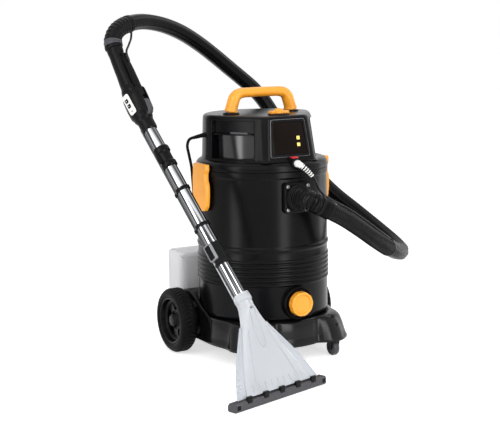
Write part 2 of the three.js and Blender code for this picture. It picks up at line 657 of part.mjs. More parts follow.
function addInlet() {
  const bossAt = INLET_PLATE / 2 - 10;
  const block = plate(roundedRect(INLET_PLATE, INLET_PLATE, 12), 34, 2).rotateX(Math.PI / 2)
    .translate(0, INLET_FACE_Y + 34, INLET_Z);
  const collar = revolve([
    [0, 0], [INLET_COLLAR_RADIUS, 0], [INLET_COLLAR_RADIUS, 3], [INLET_COLLAR_RADIUS - 3, 5],
    [INLET_COLLAR_RADIUS - 3, 7], [INLET_COLLAR_RADIUS, 9], [INLET_COLLAR_RADIUS, 12], [0, 12],
  ]).rotateX(Math.PI / 2).translate(0, INLET_FACE_Y, INLET_Z);
  const spigot = rod(INLET_BORE_RADIUS + 5 - SEAT_GAP, 56).rotateX(Math.PI / 2)
    .translate(0, INLET_FACE_Y + 32, INLET_Z);
  const bosses = [-1, 1].flatMap((x) => [-1, 1].map((z) => rod(6, 5, 6).rotateX(Math.PI / 2)
    .translate(x * bossAt, INLET_FACE_Y - 1.5, INLET_Z + z * bossAt)));
  const drumBody = rod(DRUM_RADIUS + SEAT_GAP + 1, 200, 44).translate(0, 0, INLET_Z);
  const bore = rod(INLET_BORE_RADIUS, 120).rotateX(Math.PI / 2).translate(0, INLET_FACE_Y, INLET_Z);
  let flange = solid(block).subtract(solid(drumBody));
  for (const shape of [collar, spigot, ...bosses]) flange = flange.add(solid(shape));
  add(machine, 'inlet_flange', toGeometry(flange.subtract(solid(bore))), finish(BLACK_GLOSS, 0.35));

  const start = v3(0, COLLAR_FACE_Y - SEAT_GAP, INLET_Z);
  const bend = new THREE.CurvePath();
  const bendStart = v3(0, -DRUM_RADIUS - 46, INLET_Z);
  bend.add(new THREE.LineCurve3(start, bendStart));
  bend.add(new THREE.QuadraticBezierCurve3(bendStart, ELBOW_CORNER, CUFF_START));
  const length = bend.getLength();
  const r = ELBOW_RADIUS;
  const stations = [[0, r + 6], [4, r + 6], [4.5, r + 1], [8, r + 1], [8.5, r + 4], [11, r + 4], [11.5, r]];
  for (let k = 1; k <= 6; k += 1) stations.push([11.5 + ((length - 11.5) * k) / 6, r - k / 3]);
  add(machine, 'inlet_elbow', sweep(bend, stations, 12, INLET_BORE_RADIUS, 4), finish(BLACK_GLOSS, 0.35));

  const cuffStart = CUFF_START.clone().addScaledVector(HOSE_START_DIRECTION, SEAT_GAP);
  const cuffEnd = HOSE_START.clone().addScaledVector(HOSE_START_DIRECTION, -SEAT_GAP);
  const cuffAxis = new THREE.LineCurve3(cuffStart, cuffEnd);
  const cuffLength = cuffAxis.getLength();
  const cuffProfile = [
    [0, CUFF_RADIUS], [3, CUFF_RADIUS + 1.5], [8, CUFF_RADIUS + 1.5], [9, CUFF_RADIUS - 0.5],
    [cuffLength - 9, CUFF_RADIUS - 1], [cuffLength - 8, CUFF_RADIUS + 1],
    [cuffLength - 1, CUFF_RADIUS + 1], [cuffLength, CUFF_RADIUS],
  ];
  add(machine, 'hose_cuff', sweep(cuffAxis, cuffProfile, 14, HOSE_BORE_RADIUS, 7), finish(BLACK_MATT, 0.5));
}

// The hose's route from the cuff to the wand: a wide bend beside the machine, then up
// behind it and over to the grip.
const HOSE_ROUTE = [
  [107, -250, 396], [160, -249.5, 362], [215, -245, 325], [272, -228, 293], [330, -190, 272],
  [379, -132, 265], [406, -60, 273], [406, 20, 302], [382, 95, 346], [340, 160, 400], [292, 208, 468],
  [243, 240, 545], [200, 258, 622], [163, 267, 680], [128, 272, 719], [92, 272, 748], [48, 267, 780],
  [0, 258, 814], [-60, 245, 853], [-125, 228, 887], [-190, 208, 909], [-250, 186, 919],
  [-290, 169, 919], [-318, 157, 915],
].map((p) => v3(...p));

const hoseCurve = throughPoints([HOSE_START, ...HOSE_ROUTE]);

function addHose() {
  hoseCurve.arcLengthDivisions = 2000;
  hoseCurve.updateArcLengths();
  const total = hoseCurve.getLength();
  const plain = 2 * HOSE_RIB_RADIUS;
  const ribCount = Math.floor((RIBBED_LENGTH - 2 * plain) / HOSE_RIB_PITCH);
  const stations = [[0, HOSE_RIB_RADIUS], [plain, HOSE_RIB_RADIUS]];
  for (let k = 0; k < ribCount; k += 1) {
    const at = plain + (k + 0.5) * HOSE_RIB_PITCH;
    stations.push([at - HOSE_RIB_PITCH * 0.25, HOSE_ROOT_RADIUS]);
    stations.push([at + HOSE_RIB_PITCH * 0.25, HOSE_RIB_RADIUS]);
  }
  stations.push([RIBBED_LENGTH - plain, HOSE_RIB_RADIUS], [RIBBED_LENGTH, HOSE_RIB_RADIUS]);
  add(machine, 'ribbed_hose', sweep(hoseCurve, stations, 8, HOSE_BORE_RADIUS, 10),
    finish(BLACK_MATT, 0.5));
  const sleeveStart = RIBBED_LENGTH + SEAT_GAP;
  const sleeve = Array.from({ length: SLEEVE_STEPS + 1 }, (_, k) => (
    [sleeveStart + ((total - sleeveStart) * k) / SLEEVE_STEPS, SLEEVE_RADIUS]));
  add(machine, 'sleeved_hose', sweep(hoseCurve, sleeve, 8, HOSE_BORE_RADIUS),
    finish(BLACK_MATT, 0.6));
  console.log(`hose ${total.toFixed(0)} mm, ${ribCount} ribs`);
}

// ------------------------------------------------------------------------------- head

// Plan outline of the motor cover: a round rear, two flat flanks and the console.
function headPlan(z, grow) {
  const rise = z - HEAD_SHOULDER_Z;
  const taper = (rise / (HEAD_TOP_Z - HEAD_SHOULDER_Z)) * HEAD_TAPER;
  const rear = HEAD_REAR_RADIUS - taper + grow;
  const frontY = CONSOLE_FRONT_Y + rise * CONSOLE_LEAN - grow;
  const half = CONSOLE_HALF_WIDTH - rise * CONSOLE_NARROWING + grow * 0.7;
  const points = [];
  const from = 5 * DEG;
  for (let k = 0; k <= 10; k += 1) {
    const turn = from + ((Math.PI - 2 * from) * k) / 10;
    points.push(v3(rear * Math.cos(turn), rear * Math.sin(turn), z));
  }
  const flank = [v3(-rear * Math.cos(from), rear * Math.sin(from), z), v3(-half, frontY + 7, z)];
  const bulge = 7;
  const outward = v3(-0.88, -0.474, 0);
  const left = [];
  for (let k = 1; k <= 4; k += 1) {
    const t = k / 4;
    left.push(flank[0].clone().lerp(flank[1], t).addScaledVector(outward, bulge * 4 * t * (1 - t)));
  }
  left.push(v3(-half + 2, frontY + 2, z), v3(-half + 7, frontY, z));
  points.push(...left);
  points.push(...left.map((p) => v3(-p.x, p.y, z)).reverse());
  return points;
}

// The pocket in each flank that takes the wound lead.
function wrapPocket(side) {
  const [a, b] = [v3(-HEAD_REAR_RADIUS, 4, 0), v3(-CONSOLE_HALF_WIDTH - 6, -132, 0)];
  const inward = v3(0.88, 0.474, 0);
  const floor = [0, 0.25, 0.5, 0.75, 1].map((t) => a.clone().lerp(b, t)
    .addScaledVector(inward, WRAP_DEPTH - 7 * 4 * t * (1 - t)));
  const outer = [b, a].map((p) => p.clone().addScaledVector(inward, -30));
  const shape = polygon([...floor, ...outer].map((p) => [-side * p.x, p.y]));
  return plate(shape, WRAP_TOP_Z - WRAP_FOOT_Z).translate(0, 0, WRAP_FOOT_Z);
}

function consoleLevel(z) {
  return CONSOLE_FRONT_Y + (z - HEAD_SHOULDER_Z) * CONSOLE_LEAN;
}

// A slab that lies on the leaning console: its outline narrows with height.
function consoleSlab(footWidth, topWidth, footZ, topZ, proud, depth) {
  const layer = (z, width) => [
    v3(-width / 2, consoleLevel(z) - proud, z), v3(width / 2, consoleLevel(z) - proud, z),
    v3(width / 2, consoleLevel(z) - proud + depth, z), v3(-width / 2, consoleLevel(z) - proud + depth, z),
  ];
  return loft([layer(footZ, footWidth), layer(topZ, topWidth)]);
}

const BOOT_START = v3(18 - HEAD_REAR_RADIUS, 20, WRAP_TOP_Z - 8);
const BOOT_END = v3(-HEAD_REAR_RADIUS - 22, 46, WRAP_TOP_Z - 20);

function addHead() {
  const f = HEAD_FLANGE_RADIUS;
  const skirt = DRUM_RADIUS - DRUM_WALL - 5;
  const flange = revolve([
    [FLOAT_HOLE_RADIUS, HEAD_CEILING_Z], [150, HEAD_CEILING_Z], [skirt - 6, DRUM_RIM_Z + 5],
    [skirt - 6, DRUM_RIM_Z - 21], [skirt, DRUM_RIM_Z - 21],
    [skirt, DRUM_RIM_Z + SEAT_GAP], [f, DRUM_RIM_Z + SEAT_GAP], [f, DRUM_RIM_Z + 13],
    [f - 5, HEAD_DECK_Z + 2], [f - 14, HEAD_SHOULDER_Z], [f - 24, HEAD_SHOULDER_Z], [150, HEAD_DECK_Z],
    [FLOAT_HOLE_RADIUS, HEAD_DECK_Z],
  ], { ring: true, facets: DRUM_TURN_FACETS });
  const couplingBoss = rod(COUPLING_RADIUS + 3, 30, 12).rotateX(Math.PI / 2)
    .translate(0, COUPLING_FACE_Y + 15, COUPLING_Z - 3);
  const couplingBore = rod(5, 24, 8).rotateX(Math.PI / 2).translate(0, COUPLING_FACE_Y, COUPLING_Z - 3);
  const coverSpace = box(200, 100, 60).translate(0, CONSOLE_FRONT_Y - 2 + 50, HEAD_SHOULDER_Z + 30);
  const lugY = LATCH_WIDTH / 2 - LATCH_WALL - 5;
  const lugs = SIDES.flatMap(([, side]) => [-1, 1].flatMap((end) => [
    box(LATCH_PIVOT_X - f + 8, 6, 9).translate(side * (LATCH_PIVOT_X + f - 8) / 2, end * lugY, LATCH_PIVOT_Z),
    rod(6, 6, 10).rotateX(Math.PI / 2).translate(side * LATCH_PIVOT_X, end * lugY, LATCH_PIVOT_Z),
  ]));
  const pins = SIDES.map(([, side]) => rod(LATCH_PIN_RADIUS, LATCH_WIDTH - 2 * LATCH_WALL - 1, 12)
    .rotateX(Math.PI / 2).translate(side * LATCH_PIVOT_X, 0, LATCH_PIVOT_Z));
  const headBase = carve([flange, couplingBoss, ...lugs, ...pins], [couplingBore, coverSpace]);
  add(machine, 'head_base', headBase, finish(BLACK_GLOSS, 0.35));

  const layers = [[HEAD_SHOULDER_Z + SEAT_GAP, 0], [WRAP_TOP_Z, 0], [HEAD_TOP_Z - 12, 0],
    [HEAD_TOP_Z - 4, -3], [HEAD_TOP_Z, -10]];
  const outside = loft(layers.map(([z, grow]) => headPlan(z, grow)));
  const roof = HEAD_TOP_Z - HEAD_WALL;
  const innerInset = -WRAP_DEPTH - HEAD_WALL - 8;
  const inside = loft([HEAD_SHOULDER_Z - 1, roof].map((z) => headPlan(z, innerInset)));
  const pockets = SIDES.map(([, side]) => wrapPocket(side));
  const windowSeat = consoleSlab(WINDOW_WIDTH_FOOT, WINDOW_WIDTH_TOP, WINDOW_FOOT_Z, WINDOW_TOP_Z, 10, 14);
  const windowFrame = consoleSlab(WINDOW_WIDTH_FOOT + 12, WINDOW_WIDTH_TOP + 12,
    WINDOW_FOOT_Z - 6, WINDOW_TOP_Z + 6, 2.5, 8);
  const sockets = SIDES.map(([, side]) => rod(HANDLE_GRIP_RADIUS + 5, 10, 14)
    .translate(side * HANDLE_SPAN / 2, 0, HEAD_TOP_Z + 2));
  const dial = rod(KNOB_DISC_RADIUS, 8, 20).translate(0, KNOB_Y, HEAD_TOP_Z - 1);
  const spindleHole = rod(6.3, 40, 10).translate(0, KNOB_Y, HEAD_TOP_Z);
  const postHoles = SIDES.map(([, side]) => rod(HANDLE_GRIP_RADIUS - 3, 14, 12)
    .translate(side * HANDLE_SPAN / 2, 0, HEAD_TOP_Z + 4));
  const bootHole = sweep(new THREE.LineCurve3(
    BOOT_END.clone().lerp(BOOT_START, 1.5), BOOT_END.clone().lerp(BOOT_START, 0.2),
  ), [[0, 8 + SEAT_GAP], [60, 8 + SEAT_GAP]], 14);
  const cover = carve([outside, windowFrame, ...sockets, dial],
    [inside, ...pockets, windowSeat, spindleHole, ...postHoles, bootHole]);
  add(machine, 'head_cover', cover, finish(BLACK_GLOSS, 0.3));

  const gap = SEAT_GAP;
  const pane = consoleSlab(WINDOW_WIDTH_FOOT - 2 * gap, WINDOW_WIDTH_TOP - 2 * gap,
    WINDOW_FOOT_Z + gap, WINDOW_TOP_Z - gap, 0.6, 4);
  const lampHoles = LAMP_HEIGHTS.map((z) => lampBlock(z, gap, 20));
  add(machine, 'console_window', carve([pane], lampHoles), finish(WINDOW_BROWN, 0.15));
  LAMP_HEIGHTS.forEach((z, k) => {
    add(machine, ['lamp_lower', 'lamp_upper'][k], lampBlock(z, 0, 2.6), finish(LAMP_YELLOW, 0.3));
  });
}

// A square lamp set into the console pane.
function lampBlock(z, grow, depth) {
  const size = LAMP_SIZE + 2 * grow;
  return box(size, depth, size).rotateX(-Math.atan(CONSOLE_LEAN))
    .translate(LAMP_X, consoleLevel(z) + (depth > 10 ? 2 : 0.6), z);
}

function addHeadFittings() {
  const half = HANDLE_SPAN / 2;
  const gripZ = HANDLE_TOP_Z - HANDLE_GRIP_RADIUS;
  const foot = HEAD_TOP_Z - 2 + SEAT_GAP;
  const bar = throughPoints([
    v3(-half - 2, 0, foot), v3(-half, 0, foot + 12), v3(-half + 6, 0, gripZ - 24),
    v3(-half + 15, 0, gripZ - 7), v3(-half + 32, 0, gripZ), v3(0, 0, gripZ), v3(half - 32, 0, gripZ),
    v3(half - 15, 0, gripZ - 7), v3(half - 6, 0, gripZ - 24), v3(half, 0, foot + 12), v3(half + 2, 0, foot),
  ]);
  const handle = sweepOval(bar, 18, 8, HANDLE_GRIP_RADIUS, HANDLE_GRIP_RADIUS + 3);
  const trimBox = box(400, 200, 60).translate(0, 0, HEAD_TOP_Z + 7 + SEAT_GAP - 30);
  const posts = SIDES.map(([, side]) => rod(HANDLE_GRIP_RADIUS - 3 - SEAT_GAP, 20, 12)
    .translate(side * half, 0, HEAD_TOP_Z + 9));
  const trimmed = solid(handle).subtract(solid(trimBox));
  let grip = trimmed;
  for (const post of posts) grip = grip.add(solid(post));
  add(machine, 'carry_handle', toGeometry(grip), finish(YELLOW, 0.4));

  const knobTop = 15;
  const wing = new THREE.Shape();
  wing.moveTo(-KNOB_LENGTH / 2, -11);
  wing.quadraticCurveTo(0, -4, KNOB_LENGTH / 2, -11);
  wing.lineTo(KNOB_LENGTH / 2, 11);
  wing.quadraticCurveTo(0, 4, -KNOB_LENGTH / 2, 11);
  const hub = rod(13, knobTop - 4, 14).translate(0, 0, (knobTop - 4) / 2);
  const spindle = rod(6 - RUNNING_GAP, 14, 10).translate(0, 0, -6);
  add(machine, 'switch_knob', carve([plate(wing, knobTop, 4), hub, spindle]), finish(YELLOW, 0.4),
    [0, KNOB_Y, HEAD_TOP_Z + 3 + SEAT_GAP]);

  const boot = new THREE.LineCurve3(BOOT_START, BOOT_END);
  const length = boot.getLength();
  add(machine, 'cord_boot', sweep(boot, [[0, 8], [9, 8], [11, 7], [length * 0.6, 6], [length - 4, 5.2],
    [length, 5]], 14), finish(BLACK_MATT, 0.6));

  const redTab = plate(roundedRect(16, 12, 2), 4)
    .translate(1, COUPLING_FACE_Y + 14, COUPLING_Z + 10 + SEAT_GAP);
  add(machine, 'coupling_release', redTab, finish(RED, 0.4));
}

// A bar of oval section along a curve, with rounded ends left flat.
function sweepOval(curve, steps, sides, a, b) {
  const length = curve.getLength();
  const stops = Array.from({ length: steps + 1 }, (_, k) => (length * k) / steps);
  return loft(framesAlong(curve, stops).map((frame) => {
    const across = v3(0, 1, 0);
    const other = frame.ahead.clone().cross(across).normalize();
    return ringOn({ point: frame.point, side: across, other }, b, a, sides);
  }));
}

function addHeadInside() {
  const deck = HEAD_DECK_Z + SEAT_GAP;
  const motor = revolve([
    [0, deck], [FAN_HOUSING_RADIUS, deck], [FAN_HOUSING_RADIUS, deck + 28], [MOTOR_RADIUS, deck + 32],
    [MOTOR_RADIUS, deck + MOTOR_HEIGHT - 20], [MOTOR_RADIUS - 8, deck + MOTOR_HEIGHT - 14],
    [16, deck + MOTOR_HEIGHT - 12], [16, deck + MOTOR_HEIGHT], [0, deck + MOTOR_HEIGHT],
  ]);
  add(machine, 'motor', motor, finish(STEEL, 0.4, 1));
  const pump = carve([
    rod(15, 56, 10).rotateX(Math.PI / 2).translate(0, 0, 15),
    box(26, 40, 12).translate(0, 0, 6),
    rod(5, 80, 8).rotateX(Math.PI / 2).translate(0, 0, 15),
  ]);
  add(machine, 'water_pump', pump, finish(GREY, 0.5), [68 - HEAD_REAR_RADIUS, 40, deck]);
  const sealOuter = DRUM_RADIUS - DRUM_WALL - SEAT_GAP;
  const seal = pipe(sealOuter, sealOuter - 5 + 2 * SEAT_GAP, 8, DRUM_TURN_FACETS);
  add(machine, 'drum_seal', seal, finish(BLACK_MATT, 0.8), [0, 0, DRUM_RIM_Z - 12]);

  const cageTop = HEAD_CEILING_Z - SEAT_GAP;
  const cageFoot = cageTop - CAGE_HEIGHT;
  const c = CAGE_RADIUS;
  const cage = revolve([
    [c - 4, cageTop], [c + 22, cageTop], [c + 22, cageTop - 5], [c, cageTop - 5],
    [c, cageFoot], [30, cageFoot], [30, cageFoot + 3], [c - 4, cageFoot + 3],
  ], { ring: true, facets: 15 });
  const slots = Array.from({ length: 5 }, (_, k) => box(30, 34, CAGE_HEIGHT - 40)
    .translate(c - 2, 0, (cageTop + cageFoot) / 2 - 4).rotateZ(k * 72 * DEG));
  const floor = rod(c, 3, 15).translate(0, 0, cageFoot + 1.5);
  add(machine, 'float_cage', carve([cage, floor], slots), finish(GREY, 0.6));
  add(machine, 'filter_sleeve', pipe(c + 8, c + SEAT_GAP, CAGE_HEIGHT - 14, 15), finish(FOAM_GREY, 0.9),
    [0, 0, cageFoot + 3]);
  const ball = new THREE.SphereGeometry(FLOAT_RADIUS, 10, 8).rotateX(Math.PI / 2);
  add(machine, 'float_ball', ball, finish(WHITE, 0.5), [0, 0, cageFoot + 3 + FLOAT_RADIUS + SEAT_GAP]);
}

// ---------------------------------------------------------------------------- latches

// One latch, drawn for the right side and mirrored: a shallow cap whose outline steps
// in towards its pull tab, with a bore for the pin and a hook for the drum's catch.
function latch(side) {
  const half = LATCH_WIDTH / 2;
  const height = LATCH_TOP_Z - LATCH_FOOT_Z;
  const outline = [
    [-half, height], [half, height], [half, height * 0.34], [half - 7, height * 0.3],
    [half - 7, height * 0.16], [half - 19, height * 0.1], [half - 19, 0], [-half + 19, 0],
    [-half + 19, height * 0.1], [-half + 7, height * 0.16], [-half + 7, height * 0.3],
    [-half, height * 0.34],
  ];
  const backX = HEAD_FLANGE_RADIUS + 1.5;
  const bevelled = loft([[0, 1], [LATCH_THICKNESS - 4, 1], [LATCH_THICKNESS, 0.93]].map(([depth, scale]) => (
    outline.map(([y, z]) => v3(y * scale, height / 2 + (z - height / 2) * scale, depth)))));
  const room = plate(polygon([
    [-half + LATCH_WALL, height + 10], [half - LATCH_WALL, height + 10], [half - LATCH_WALL, height * 0.36],
    [half - 24, height * 0.2], [-half + 24, height * 0.2], [-half + LATCH_WALL, height * 0.36],
  ]), LATCH_THICKNESS - LATCH_WALL).translate(0, 0, -1);
  const upright = (geometry) => geometry.rotateX(Math.PI / 2).rotateZ(Math.PI / 2)
    .translate(backX, 0, LATCH_FOOT_Z);
  const earBlocks = [-1, 1].map((end) => box(11, LATCH_WALL + 1.5, 12)
    .translate(LATCH_PIVOT_X, end * (half - LATCH_WALL / 2 - 0.75), LATCH_PIVOT_Z));
  const bore = rod(LATCH_PIN_RADIUS + RUNNING_GAP, LATCH_WIDTH - LATCH_WALL + 1, 14).rotateX(Math.PI / 2)
    .translate(LATCH_PIVOT_X, 0, LATCH_PIVOT_Z);
  let shape = solid(upright(bevelled)).subtract(solid(upright(room)));
  for (const ear of earBlocks) shape = shape.add(solid(ear));
  shape = shape.subtract(solid(bore));
  const geometry = toGeometry(shape);
  if (side < 0) geometry.scale(-1, 1, 1);
  return geometry;
}

function addLatches() {
  for (const [side, sign] of SIDES) add(machine, `latch_${side}`, latch(sign), finish(YELLOW, 0.4));
}

// ------------------------------------------------------------------------- water tank

function addTank() {
  const width = 2 * TANK_HALF_WIDTH;
  const depth = TANK_REAR_Y - TANK_FRONT_Y;
  const foot = BASE_DECK_Z + SEAT_GAP;
  const height = TANK_TOP_Z - foot;
  const layer = (z, inset) => roundedRect(width - 2 * inset, depth - 2 * inset, 18 - inset * 0.5)
    .getPoints(2).slice(0, -1).map((p) => v3(p.x, p.y, z));
  const outside = loft([
    layer(0, 4), layer(5, 0), layer(height - 10, 0), layer(height - 3, 3), layer(height, 8),
  ]);
  const w = TANK_WALL;
  const inside = loft([layer(w, 4 + w), layer(5 + w, w), layer(height - 10, w), layer(height - w, 8 + w)]);
  const neck = rod(TANK_NECK_RADIUS, 16, 16).translate(TANK_CAP_X, 0, height + 3);
  const mouth = rod(TANK_NECK_RADIUS - 3, 40, 16).translate(TANK_CAP_X, 0, height);
  const grooves = [-1, 0, 1].map((k) => rod(5, height * 0.72, 6)
    .translate(k * width * 0.27, depth / 2 + 3.6, height * 0.46));
  const body = solid(outside).add(solid(neck)).subtract(solid(inside)).subtract(solid(mouth));
  const shell = grooves.reduce((shape, groove) => shape.subtract(solid(groove)), body);
  const tank = new THREE.Group();
  tank.position.set(0, (TANK_FRONT_Y + TANK_REAR_Y) / 2, foot);
  machine.add(tank);
  add(tank, 'water_tank', toGeometry(shell), finish(MILKY, 0.4));

  const capBody = revolve([
    [0, 14], [TANK_CAP_RADIUS - 3, 14], [TANK_CAP_RADIUS, 11], [TANK_CAP_RADIUS, 0],
    [TANK_NECK_RADIUS + RUNNING_GAP, 0], [TANK_NECK_RADIUS + RUNNING_GAP, 11], [0, 11],
  ]);
  const grips = Array.from({ length: 6 }, (_, k) => rod(2.2, 40, 5)
    .translate(TANK_CAP_RADIUS + 1, 0, 5).rotateZ(k * 60 * DEG));
  add(tank, 'tank_cap', carve([capBody], grips), finish(BLACK_MATT, 0.5),
    [TANK_CAP_X, 0, height + SEAT_GAP]);
}

// ------------------------------------------------------------------------------- wand

// The wand's group stands on the floor at the nozzle bar, turned to the bar's line;
// the tube group inside it leans back, its +Z along the tube and its -Y uppermost.
const wand = new THREE.Group();
wand.position.set(WAND_FOOT.x, WAND_FOOT.y, 0);
wand.rotation.z = WAND_TURN * DEG;
const wandTube = new THREE.Group();
wandTube.position.set(0, NECK_REACH, NECK_Z);
wandTube.rotation.x = -(90 - WAND_RISE) * DEG;
wand.add(wandTube);
machine.add(wand);

const LOCK_START = OUTER_TUBE_END - 8;
const gripCurve = throughPoints([
  v3(0, 0, GRIP_START), v3(0, 0, GRIP_START + 36), v3(0, -1, GRIP_START + 70), v3(0, -6, GRIP_START + 120),
  v3(0, -15, GRIP_START + 185), v3(0, -28, GRIP_TOP),
]);
const PANEL_START = GRIP_START + 52;
const PANEL_LENGTH = 62;
const PANEL_WIDTH = 30;
const PANEL_X = 25.5;

function addWandTubes() {
  const chrome = finish(CHROME, 0.12, 1);
  const innerStart = -NECK_SOCKET + 10;
  const innerLength = OUTER_TUBE_START + INNER_TUBE_OVERLAP - innerStart;
  add(wandTube, 'inner_tube', pipe(INNER_TUBE_RADIUS, INNER_TUBE_RADIUS - INNER_TUBE_WALL, innerLength, 16),
    chrome, [0, 0, innerStart]);
  const bore = TUBE_RADIUS - TUBE_WALL;
  const outerLength = OUTER_TUBE_END - OUTER_TUBE_START;
  add(wandTube, 'outer_tube', pipe(TUBE_RADIUS, bore, outerLength, 16), chrome, [0, 0, OUTER_TUBE_START]);
  const upperStart = OUTER_TUBE_END + SEAT_GAP;
  const upperLength = UPPER_TUBE_END - upperStart;
  add(wandTube, 'upper_tube', pipe(TUBE_RADIUS, bore, upperLength, 16), chrome, [0, 0, upperStart]);

  const r = LOCK_SLEEVE_RADIUS;
  const fit = TUBE_RADIUS + SEAT_GAP;
  const n = LOCK_SLEEVE_LENGTH;
  const sleeve = revolve([
    [fit, 0], [r - 2, 0], [r, 3], [r, 14], [r - 2.5, 17], [r - 2.5, n - 20],
    [r + 1, n - 16], [r + 1, n - 4], [r - 1, n], [fit, n],
  ], { ring: true, facets: 16 });
  const clip = box(9, 8, 24).translate(-r - 0.5, 0, n * 0.45);
  const slot = box(6, 3, 12).translate(-r - 4, 0, n * 0.45);
  const sleeveBore = rod(fit, 200, 16);
  add(wandTube, 'lock_sleeve', carve([sleeve, clip], [slot, sleeveBore]), finish(BLACK_GLOSS, 0.4),
    [0, 0, LOCK_START]);

  const c = OUTER_TUBE_START;
  const collar = revolve([
    [INNER_TUBE_RADIUS + SEAT_GAP, c - 9], [21, c - 9], [22, c - 6], [22, c + 5], [20.5, c + 8],
    [20.5, c + 52],
    [fit, c + 52], [fit, c - SEAT_GAP], [INNER_TUBE_RADIUS + SEAT_GAP, c - SEAT_GAP],
  ], { ring: true, facets: 16 });
  const window = box(60, 60, 42).translate(30 - 6, 0, c + 31);
  const frame = box(9, 26, 46).translate(-21, 0, c + 29);
  const pocket = box(12, 19, 39).translate(-22, 0, c + 29);
  const collarBore = rod(fit, 300, 16).translate(0, 0, c - SEAT_GAP + 150);
  add(wandTube, 'telescope_collar', carve([collar, frame], [window, pocket, collarBore]),
    finish(GREY, 0.4));
  const button = plate(roundedRect(17.6, 37.6, 3), 5).rotateX(Math.PI / 2).rotateZ(-Math.PI / 2);
  add(wandTube, 'release_button', button, finish(BUTTON_GREY, 0.4), [-TUBE_RADIUS - 8.2, 0, c + 29]);
}

function addGrip() {
  const length = gripCurve.getLength();
  const stops = [[0, 20.5, 20.5], [12, 22, 22], [26, 22, 22], [40, 25, 28], [54, 27, 34], [100, 27, 35],
    [122, 24, 29], [140, 21, 23], [180, 20, 21], [length - 20, 20.5, 21], [length, 22, 22]];
  const frames = framesAlong(gripCurve, stops.map(([at]) => at));
  const body = loft(frames.map((frame, k) => {
    const across = v3(1, 0, 0);
    const other = frame.ahead.clone().cross(across).normalize();
    return ringOn({ point: frame.point, side: across, other }, stops[k][1], stops[k][2], 12);
  }));
  const bore = sweep(gripCurve, [[0, 15], [60, 15], [120, 15], [180, 15], [length, 15]], 12);
  const socket = rod(TUBE_RADIUS + SEAT_GAP, 2 * (UPPER_TUBE_END + SEAT_GAP - GRIP_START), 16)
    .translate(0, 0, GRIP_START);
  const panelMid = PANEL_START + PANEL_LENGTH / 2;
  const panelSeat = plate(roundedRect(PANEL_WIDTH + 2 * SEAT_GAP, PANEL_LENGTH + 2 * SEAT_GAP, 8), 10, 4)
    .rotateX(Math.PI / 2).rotateZ(-Math.PI / 2).translate(-PANEL_X - 8, 0, panelMid);
  const leverSeat = sidewaysPlate(leverOutline(1.2, LEVER_SINK), 15);
  const ears = [-1, 1].map((side) => sidewaysPlate(EAR_OUTLINE, 4).translate(side * 10, 0, 0));
  const leverPin = rod(2.5, 20, 12).rotateY(Math.PI / 2).translate(0, LEVER_PIVOT.y, LEVER_PIVOT.z);
  let grip = solid(body).subtract(solid(leverSeat));
  for (const ear of ears) grip = grip.add(solid(ear));
  grip = grip.add(solid(leverPin));
  for (const shape of [bore, socket, panelSeat]) grip = grip.subtract(solid(shape));
  add(wandTube, 'hand_grip', toGeometry(grip), finish(BLACK_GLOSS, 0.35));

  const buttonHoles = GRIP_BUTTONS.map(([, at]) => box(20, 8.6, 8.6).translate(-PANEL_X, 0, at));
  const panel = plate(roundedRect(PANEL_WIDTH, PANEL_LENGTH, 8), 3, 4)
    .rotateX(Math.PI / 2).rotateZ(-Math.PI / 2).translate(-PANEL_X - 1.5, 0, panelMid);
  add(wandTube, 'grip_panel', carve([panel], buttonHoles), finish(WHITE, 0.4));
  for (const [name, at] of GRIP_BUTTONS) {
    add(wandTube, name, plate(roundedRect(8, 8, 1), 3.4, 2).rotateX(Math.PI / 2).rotateZ(-Math.PI / 2),
      finish(BLACK_MATT, 0.5), [-PANEL_X - 3, 0, at]);
  }
  add(wandTube, 'spray_trigger', trigger(), finish(BLACK_MATT, 0.5));
}

const GRIP_BUTTONS = [['grip_button_lower', PANEL_START + 26], ['grip_button_upper', PANEL_START + 42]];
const LEVER_PIVOT = v3(0, -36, 622);
const LEVER_SINK = 6.5;
const EAR_OUTLINE = [[-30, 604], [-44, 612], [-46, 632], [-40, 640], [-24, 640], [-24, 604]];

// An outline in the Y-Z plane, extruded by `width` to both sides of X = 0.
function sidewaysPlate(outline, width) {
  return plate(polygon(outline), width).rotateX(Math.PI / 2).rotateZ(Math.PI / 2)
    .translate(-width / 2, 0, 0);
}

// The long spray lever along the upper side of the grip, in the Y-Z plane. `sink` is
// the room that its free end has to move into the grip.
function leverOutline(grow, sink) {
  return [
    [-30 + grow, 606 - grow], [-42 - grow, 612 - grow], [-44 - grow, 630], [-50 - grow, 690],
    [-52 - grow, 742 + grow], [-47 + grow + sink, 744 + grow], [-40 + grow + sink * 0.7, 700],
    [-31 + grow + sink * 0.3, 650], [-29 + grow, 630],
  ];
}

function trigger() {
  const blade = sidewaysPlate(leverOutline(0, 0), 12);
  const bore = rod(2.5 + RUNNING_GAP, 40, 14).rotateY(Math.PI / 2).translate(0, LEVER_PIVOT.y, LEVER_PIVOT.z);
  return carve([blade], [bore]);
}

